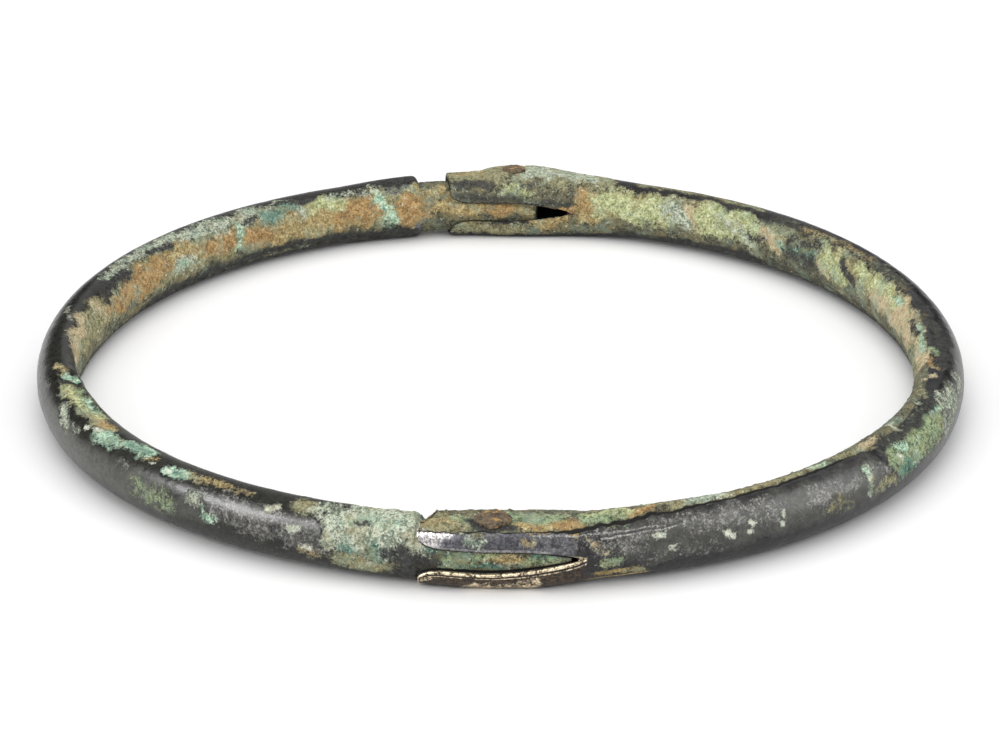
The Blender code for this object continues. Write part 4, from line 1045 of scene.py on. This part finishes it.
def aged_bronze(name, groups, skin_darker, skin_lighter, skin_roughness, skin_metal):
    """Smooth old skin, with every finish of the marks laid over it in its own ragged patches."""
    material, tree, shader = new_material(name)
    shader["Specular IOR Level"].default_value = 0.32
    place = node(tree, "ShaderNodeTexCoord", output="Object")
    ring_map = node(tree, "ShaderNodeUVMap", uv_map="ring")
    fine = fields(place, 0.21 * MM, 1.5, 0.11, 0.7)
    small = fields(place, 0.60 * MM, 3.0, 0.23, 0.5)
    wide = fields(place, 2.4 * MM, 3.0, 0.37)
    grain = [(f * 1.7 - 0.85) + (s * 1.8 - 0.4) for f, s in zip(fine, small)]

    def use(group, **values):
        return node(tree, "ShaderNodeGroup", values, node_tree=groups[group])

    def attribute(label):
        return node(tree, "ShaderNodeAttribute", output="Fac", attribute_name=label)

    colour = use("mottle", Darker=(*skin_darker, 1.0), Lighter=(*skin_lighter, 1.0), Contrast=2.0,
                 Noise=wide[0] * 0.6 + grain[1] * 0.4)
    scratched = [use("fine scratches", Map=ring_map, Lean=lean, Length=length * MM, Thinness=0.05 * MM,
                     Amount=amount)
                 for lean, length, amount in ((0.12, 1.3, 0.36), (-0.45, 0.8, 0.33))]
    scratched = maths("MAXIMUM", *scratched) * soft_step(wide[1], 0.42, 0.62)
    colour = mix_colour(scratched * 0.30, colour, (0.42, 0.41, 0.39, 1.0))
    roughness = (small[2] - 0.5) * 0.22 + skin_roughness
    metal, covered = skin_metal, 0.0
    face = attribute("face")

    def lay_over(mask, coat, metallic, rough):
        nonlocal colour, roughness, metal
        colour = mix_colour(mask, colour, coat)
        roughness = (rough - roughness) * mask + roughness
        metal = (metallic - metal) * mask + metal

    def mottled(finish, i):
        darker, lighter = FINISHES[finish][:2]
        return use("mottle", Darker=(*darker, 1.0), Lighter=(*lighter, 1.0), Noise=grain[(i + 1) % 3],
                   Contrast=1.7)

    for i, (finish, (_, _, rough, metallic, relief)) in enumerate(FINISHES.items()):
        mark = attribute(finish)
        if finish == "earth":
            mark = maths("MAXIMUM", mark, face * 0.9)
        raggedness, softness = (0.35, 0.8) if finish in SOFT_EDGED_FINISHES else (0.9, 0.32)
        mask = use("ragged patch", Mark=mark, Noise=grain[i % 3], Raggedness=raggedness, Softness=softness)
        # the haze and painted highlight is only speckled over its patch
        if finish == "haze_and_highlight":
            mask = mask * (maths("MAXIMUM", soft_step(grain[1], 0.45, 1.05), scratched) * 0.50 + 0.18)
        lay_over(mask, mottled(finish, i), metallic, rough)
        if relief > 0.25:
            covered = maths("MAXIMUM", covered, mask)
        elif finish in BARE_FINISHES:
            covered = covered * (1.0 - mask)
    # other salts and earth grown through the crust, and flecks and pits in it
    for field, low, share, tone in ((wide[1], 0.50, 0.40, (0.36, 0.28, 0.12)),
                                    (wide[2], 0.50, 0.40, (0.30, 0.42, 0.32)),
                                    (small[1], 0.56, 0.45, (0.035, 0.045, 0.033))):
        colour = mix_colour(soft_step(field, low, low + 0.16) * (covered * share), colour, (*tone, 1.0))
    for field, amount, share, tone in ((grain[2], 0.16, 0.6, (0.70, 0.75, 0.60)),
                                       (grain[0], 0.10, 0.5, (0.36, 0.26, 0.11)),
                                       (fine[1], 0.42, 0.6, (0.04, 0.045, 0.033))):
        mask = use("flecks", Noise=field, Amount=amount, Where=covered)
        colour = mix_colour(mask * share, colour, (*tone, 1.0))
    for i, finish in enumerate(SOCKET_HALF_LINES):
        line = (fine[0] - 0.5) * 0.25 + attribute(finish + " line")
        lay_over(soft_step(line, 0.94, 1.04), mottled(finish, i), 0.0, FINISHES[finish][2])
    # the petals' lips: a bright worn edge, a dark hollow behind it, a second worn line, and black painted shade
    # inside the cut and in the crevices
    lip = attribute("lip")
    uneven_lip = (fine[0] - 0.5) * 0.10 + lip

    def band(low, high):
        past_low, past_high = (soft_step(uneven_lip, edge - 0.04, edge + 0.04) for edge in (low, high))
        return past_low * (1.0 - past_high)

    black = (0.010, 0.009, 0.008, 1.0)
    for i, finish in enumerate(SOCKET_HALF_LIPS):
        _, _, rough, metallic, _ = FINISHES[finish]
        where = attribute(finish + " lip")
        if finish == "gold":
            lay_over(band(0.72, 0.82) * where, black, 0.0, 0.6)
            broken = where * soft_step(grain[2], 0.05, 0.45)
            lay_over(band(0.56, 0.66) * broken, mottled(finish, i), metallic, rough)
        lay_over(band(0.88, 1.14) * where, mottled(finish, i + 1), metallic, rough)
    # painted shade: black in the crevices and inside the cuts behind the lips
    groove = maths("MAXIMUM", soft_step(attribute("crevice"), 0.83, 0.94), soft_step(lip, 1.12, 1.18))
    lay_over(groove, black, 0.0, 0.9)
    height = (grain[0] + fine[2]) * (covered + 0.08)
    bump = node(tree, "ShaderNodeBump", {"Height": height, "Distance": 0.08 * MM, "Strength": 0.9})
    join(colour, shader["Base Color"])
    join(roughness, shader["Roughness"])
    join(metal, shader["Metallic"])
    join(bump, shader["Normal"])
    return material


def rusted_iron(name, mottled):
    material, tree, shader = new_material(name)
    place = node(tree, "ShaderNodeTexCoord", output="Object")
    fine, small = fields(place, 0.25 * MM, 3.0, 0.53), fields(place, 0.9 * MM, 4.0, 0.71)
    grain = fine[0] * 0.5 + small[0] * 0.5
    colour = node(tree, "ShaderNodeGroup", {
        "Darker": (0.014, 0.010, 0.008, 1.0), "Lighter": (0.19, 0.13, 0.065, 1.0), "Noise": grain,
        "Contrast": 5.0}, node_tree=mottled)
    colour = mix_colour(soft_step(small[2], 0.55, 0.64), colour, (0.42, 0.25, 0.07, 1.0))
    bump = node(tree, "ShaderNodeBump", {"Height": grain, "Distance": 0.15 * MM, "Strength": 1.0})
    join(colour, shader["Base Color"])
    join(small[1] * 0.3 + 0.7, shader["Roughness"])
    join(bump, shader["Normal"])
    return material


# The four pieces

def pin_mesh(name, joint):
    """A round upright pin with a low head on the sleeve's top."""
    sides, seat = 56, REST_DEPTH + top_height(joint.pin_at, joint.mound, joint.hump)
    angle = angle_at(joint, joint.pin_at)
    radius = RING_RADIUS * (1.0 + waves(angle, PLAN_SHARES)) + joint.pin_out
    share = (joint.pin_at / JOINT_FLAT_REACH) ** 2
    radius -= JOINT_FLATTENING * (1.0 - share) * math.exp(-share / 2.0)
    centre = radius * math.cos(angle), radius * math.sin(angle)
    profile = [(PIN_RADIUS * r, PIN_FOOT_ABOVE_REST + z * MM)
               for r, z in ((0.80, 0.0), (0.94, 0.05), (1.0, 0.15))]
    profile += [(PIN_RADIUS, seat - 0.10 * MM), (joint.head_radius * 0.97, seat - 0.08 * MM)]
    head_height = joint.head_height + 0.05 * MM
    profile += [(joint.head_radius * math.cos(turn) ** 0.7, seat + head_height * math.sin(turn) ** 1.1)
                for turn in np.linspace(0.1, 0.5, 14)[:-1] * pi]
    around = np.linspace(0.0, tau, sides, endpoint=False)
    lump = 1.0 + sum(height * np.cos(count * around + start)
                     for height, count, start in ((0.05, 2.0, 0.0), (0.05, 4.0, 0.4), (0.03, 5.0, 2.0)))
    mesh = bmesh.new()
    rings = []
    for r, z in profile:
        uneven_round = lump if z > seat - 0.09 * MM else np.ones_like(lump)
        rings.append([mesh.verts.new((centre[0] + r * u * math.cos(a), centre[1] + r * u * math.sin(a), z))
                      for a, u in zip(around, uneven_round)])
    for low, high in zip(rings, rings[1:]):
        for i in range(sides):
            mesh.faces.new((low[i], low[i - 1], high[i - 1], high[i]))
    for ring, (_, z) in ((rings[0], profile[0]), (rings[-1], profile[-1])):
        hub = mesh.verts.new((*centre, z))
        for i in range(sides):
            mesh.faces.new((hub, ring[i - 1], ring[i]))
    bmesh.ops.recalc_face_normals(mesh, faces=mesh.faces)
    made = bpy.data.meshes.new(name)
    mesh.to_mesh(made)
    mesh.free()
    for mark, value in (("crust", 0.8), ("rough", 1.0), ("inside", 0.0)):
        store(made, mark, np.full(len(made.vertices), value))
    return made


def show(piece, cad_node):
    """Rounds the shading, hands the piece to its body and hides its solid."""
    piece.data.shade_smooth()
    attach(piece, "root")
    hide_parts(cad_node)


def make_pieces():
    groups = {group.name: group for group in (ragged_patch(), mottle(), flecks(), fine_scratches())}
    plug_bronze = aged_bronze(
        "green-crusted bronze", groups, (0.005, 0.005, 0.004), (0.032, 0.032, 0.025), 0.29, 0.05)
    socket_bronze = aged_bronze(
        "smooth dark bronze", groups, (0.005, 0.0045, 0.005), (0.030, 0.028, 0.030), 0.30, 0.05)
    iron = rusted_iron("rusted iron", groups["mottle"])
    bend, skin = bend_round_ring(), corroded_skin()
    bending = {"Ring radius": RING_RADIUS, "Joint flattening": JOINT_FLATTENING,
               "Joint reach": JOINT_FLAT_REACH, "Centreline height": REST_DEPTH}
    for order, cosine, sine in PLAN_SHARES:
        bending.update({f"Share cosine {order}": cosine, f"Share sine {order}": sine})
    edge = Vector((0.004 * MM,) * 3)
    crust = {"Crust height": 0.16 * MM, "Crust lump size": 0.55 * MM, "Pit depth": 0.12 * MM,
             "Pit size": 0.8 * MM, "Unevenness": 0.10 * MM,
             "Lowest corner": Vector(cad_box[0]) + edge * Vector((1, 1, 0)),
             "Highest corner": Vector(cad_box[1]) - edge}
    plug_mesh, socket_mesh = straight_plug_half(), straight_socket_half()
    mark_out(plug_mesh, 0.35, PLUG_HALF_MARKS, {}, {})
    mark_out(socket_mesh, 0.25, SOCKET_HALF_MARKS, SOCKET_HALF_LINES, SOCKET_HALF_LIPS)
    show(worked("green_plug_half", plug_mesh, [(bend, bending), (skin, {
        **crust, "Shift": 0.0, "Material": plug_bronze})]), "plug_half")
    show(worked("dark_socket_half", socket_mesh, [(bend, bending), (skin, {
        **crust, "Shift": 0.31, "Material": socket_bronze})]), "socket_half")
    for joint in JOINTS:
        show(worked("rusty_pin_" + joint.place, pin_mesh("pin", joint), [(skin, {
            **crust, "Crust height": 0.20 * MM, "Shift": 0.7, "Material": iron})]),
            "iron_pin_" + joint.place)


# Camera, floor and light

# A soft light's name, place, width, height, power, and whether it shows only as a highlight, or else as light
SOFTBOXES = (
    ("softbox above", (-0.02, 0.03, 0.55), 0.60, 0.60, 1.6, False),
    ("softbox on the left", (-0.52, -0.22, 0.36), 0.50, 0.32, 0.7, False),
    ("softbox on the right", (0.52, -0.22, 0.36), 0.50, 0.32, 0.7, False),
    ("softbox in front", (0.0, -0.52, 0.46), 0.55, 0.30, 0.8, False),
    ("sheen on the left", (-0.56, -0.27, 0.28), 0.40, 0.22, 6.2, True),
    ("sheen on the right", (0.56, -0.14, 0.26), 0.45, 0.66, 4.0, True),
    ("sheen in front", (0.0, -0.50, 0.48), 0.50, 0.26, 1.8, True),
)


def aim(thing, direction):
    thing.rotation_euler = Vector(direction).to_track_quat("-Z", "Y").to_euler()
    bpy.context.scene.collection.objects.link(thing)


def set_up_view():
    scene = bpy.context.scene
    scene.view_settings.view_transform = "Standard"
    ahead = Vector((0.0, math.cos(CAMERA_TILT), -math.sin(CAMERA_TILT)))
    lens = bpy.data.cameras.new("camera")
    lens.lens, lens.sensor_width, lens.clip_start = CAMERA_LENS, 36.0, 0.01
    camera = bpy.data.objects.new("camera", lens)
    camera.location = CAMERA_AIM - CAMERA_DISTANCE * ahead
    aim(camera, ahead)
    scene.camera = camera


def set_out_card(name, corners, darker, lighter):
    """A sheet of card in the studio, with its paper's slight unevenness."""
    mesh = bpy.data.meshes.new(name)
    mesh.from_pydata(corners, [], [(0, 1, 2, 3)])
    card = bpy.data.objects.new(name, mesh)
    bpy.context.collection.objects.link(card)
    material, tree, shader = new_material(name + " paper")
    tooth = noise(node(tree, "ShaderNodeTexCoord", output="Object"), 40.0 * MM)
    colour = mix_colour(tooth, (darker, darker, darker, 1.0), (lighter, lighter, lighter, 1.0))
    join(colour, shader["Base Color"])
    shader["Roughness"].default_value = 0.9
    shader["Specular IOR Level"].default_value = 0.1
    mesh.materials.append(material)
    return card


def lay_floor():
    reach = 3.0
    corners = [(-reach, -reach, 0), (reach, -reach, 0), (reach, reach, 0), (-reach, reach, 0)]
    set_out_card("floor", corners, 0.90, 0.94)


def stand_dark_cards():
    """Dark cards behind the ring on both sides, which show only as what its flanks mirror."""
    for name, side in (("dark card on the left", -1.0), ("dark card on the right", 1.0)):
        near, far, foot, top = (side * 0.42, 0.06), (side * 0.10, 0.42), 0.004, 0.26
        card = set_out_card(name, [(*near, foot), (*far, foot), (*far, top), (*near, top)], 0.02, 0.04)
        card.visible_camera = card.visible_diffuse = card.visible_shadow = False


def set_up_light():
    for name, place, width, height, power, sheen in SOFTBOXES:
        light = bpy.data.lights.new(name, "AREA")
        light.shape, light.size, light.size_y, light.energy = "RECTANGLE", width, height, power
        box = bpy.data.objects.new(name, light)
        box.location = place
        box.visible_diffuse, box.visible_glossy = not sheen, sheen
        aim(box, -Vector(place))
    world = bpy.context.scene.world or bpy.data.worlds.new("studio")
    bpy.context.scene.world = world
    world.use_nodes = True
    sky = world.node_tree.nodes["Background"].inputs
    sky["Color"].default_value, sky["Strength"].default_value = (1.0, 1.0, 1.0, 1.0), 0.60


set_up_view()
lay_floor()
stand_dark_cards()
set_up_light()
make_pieces()
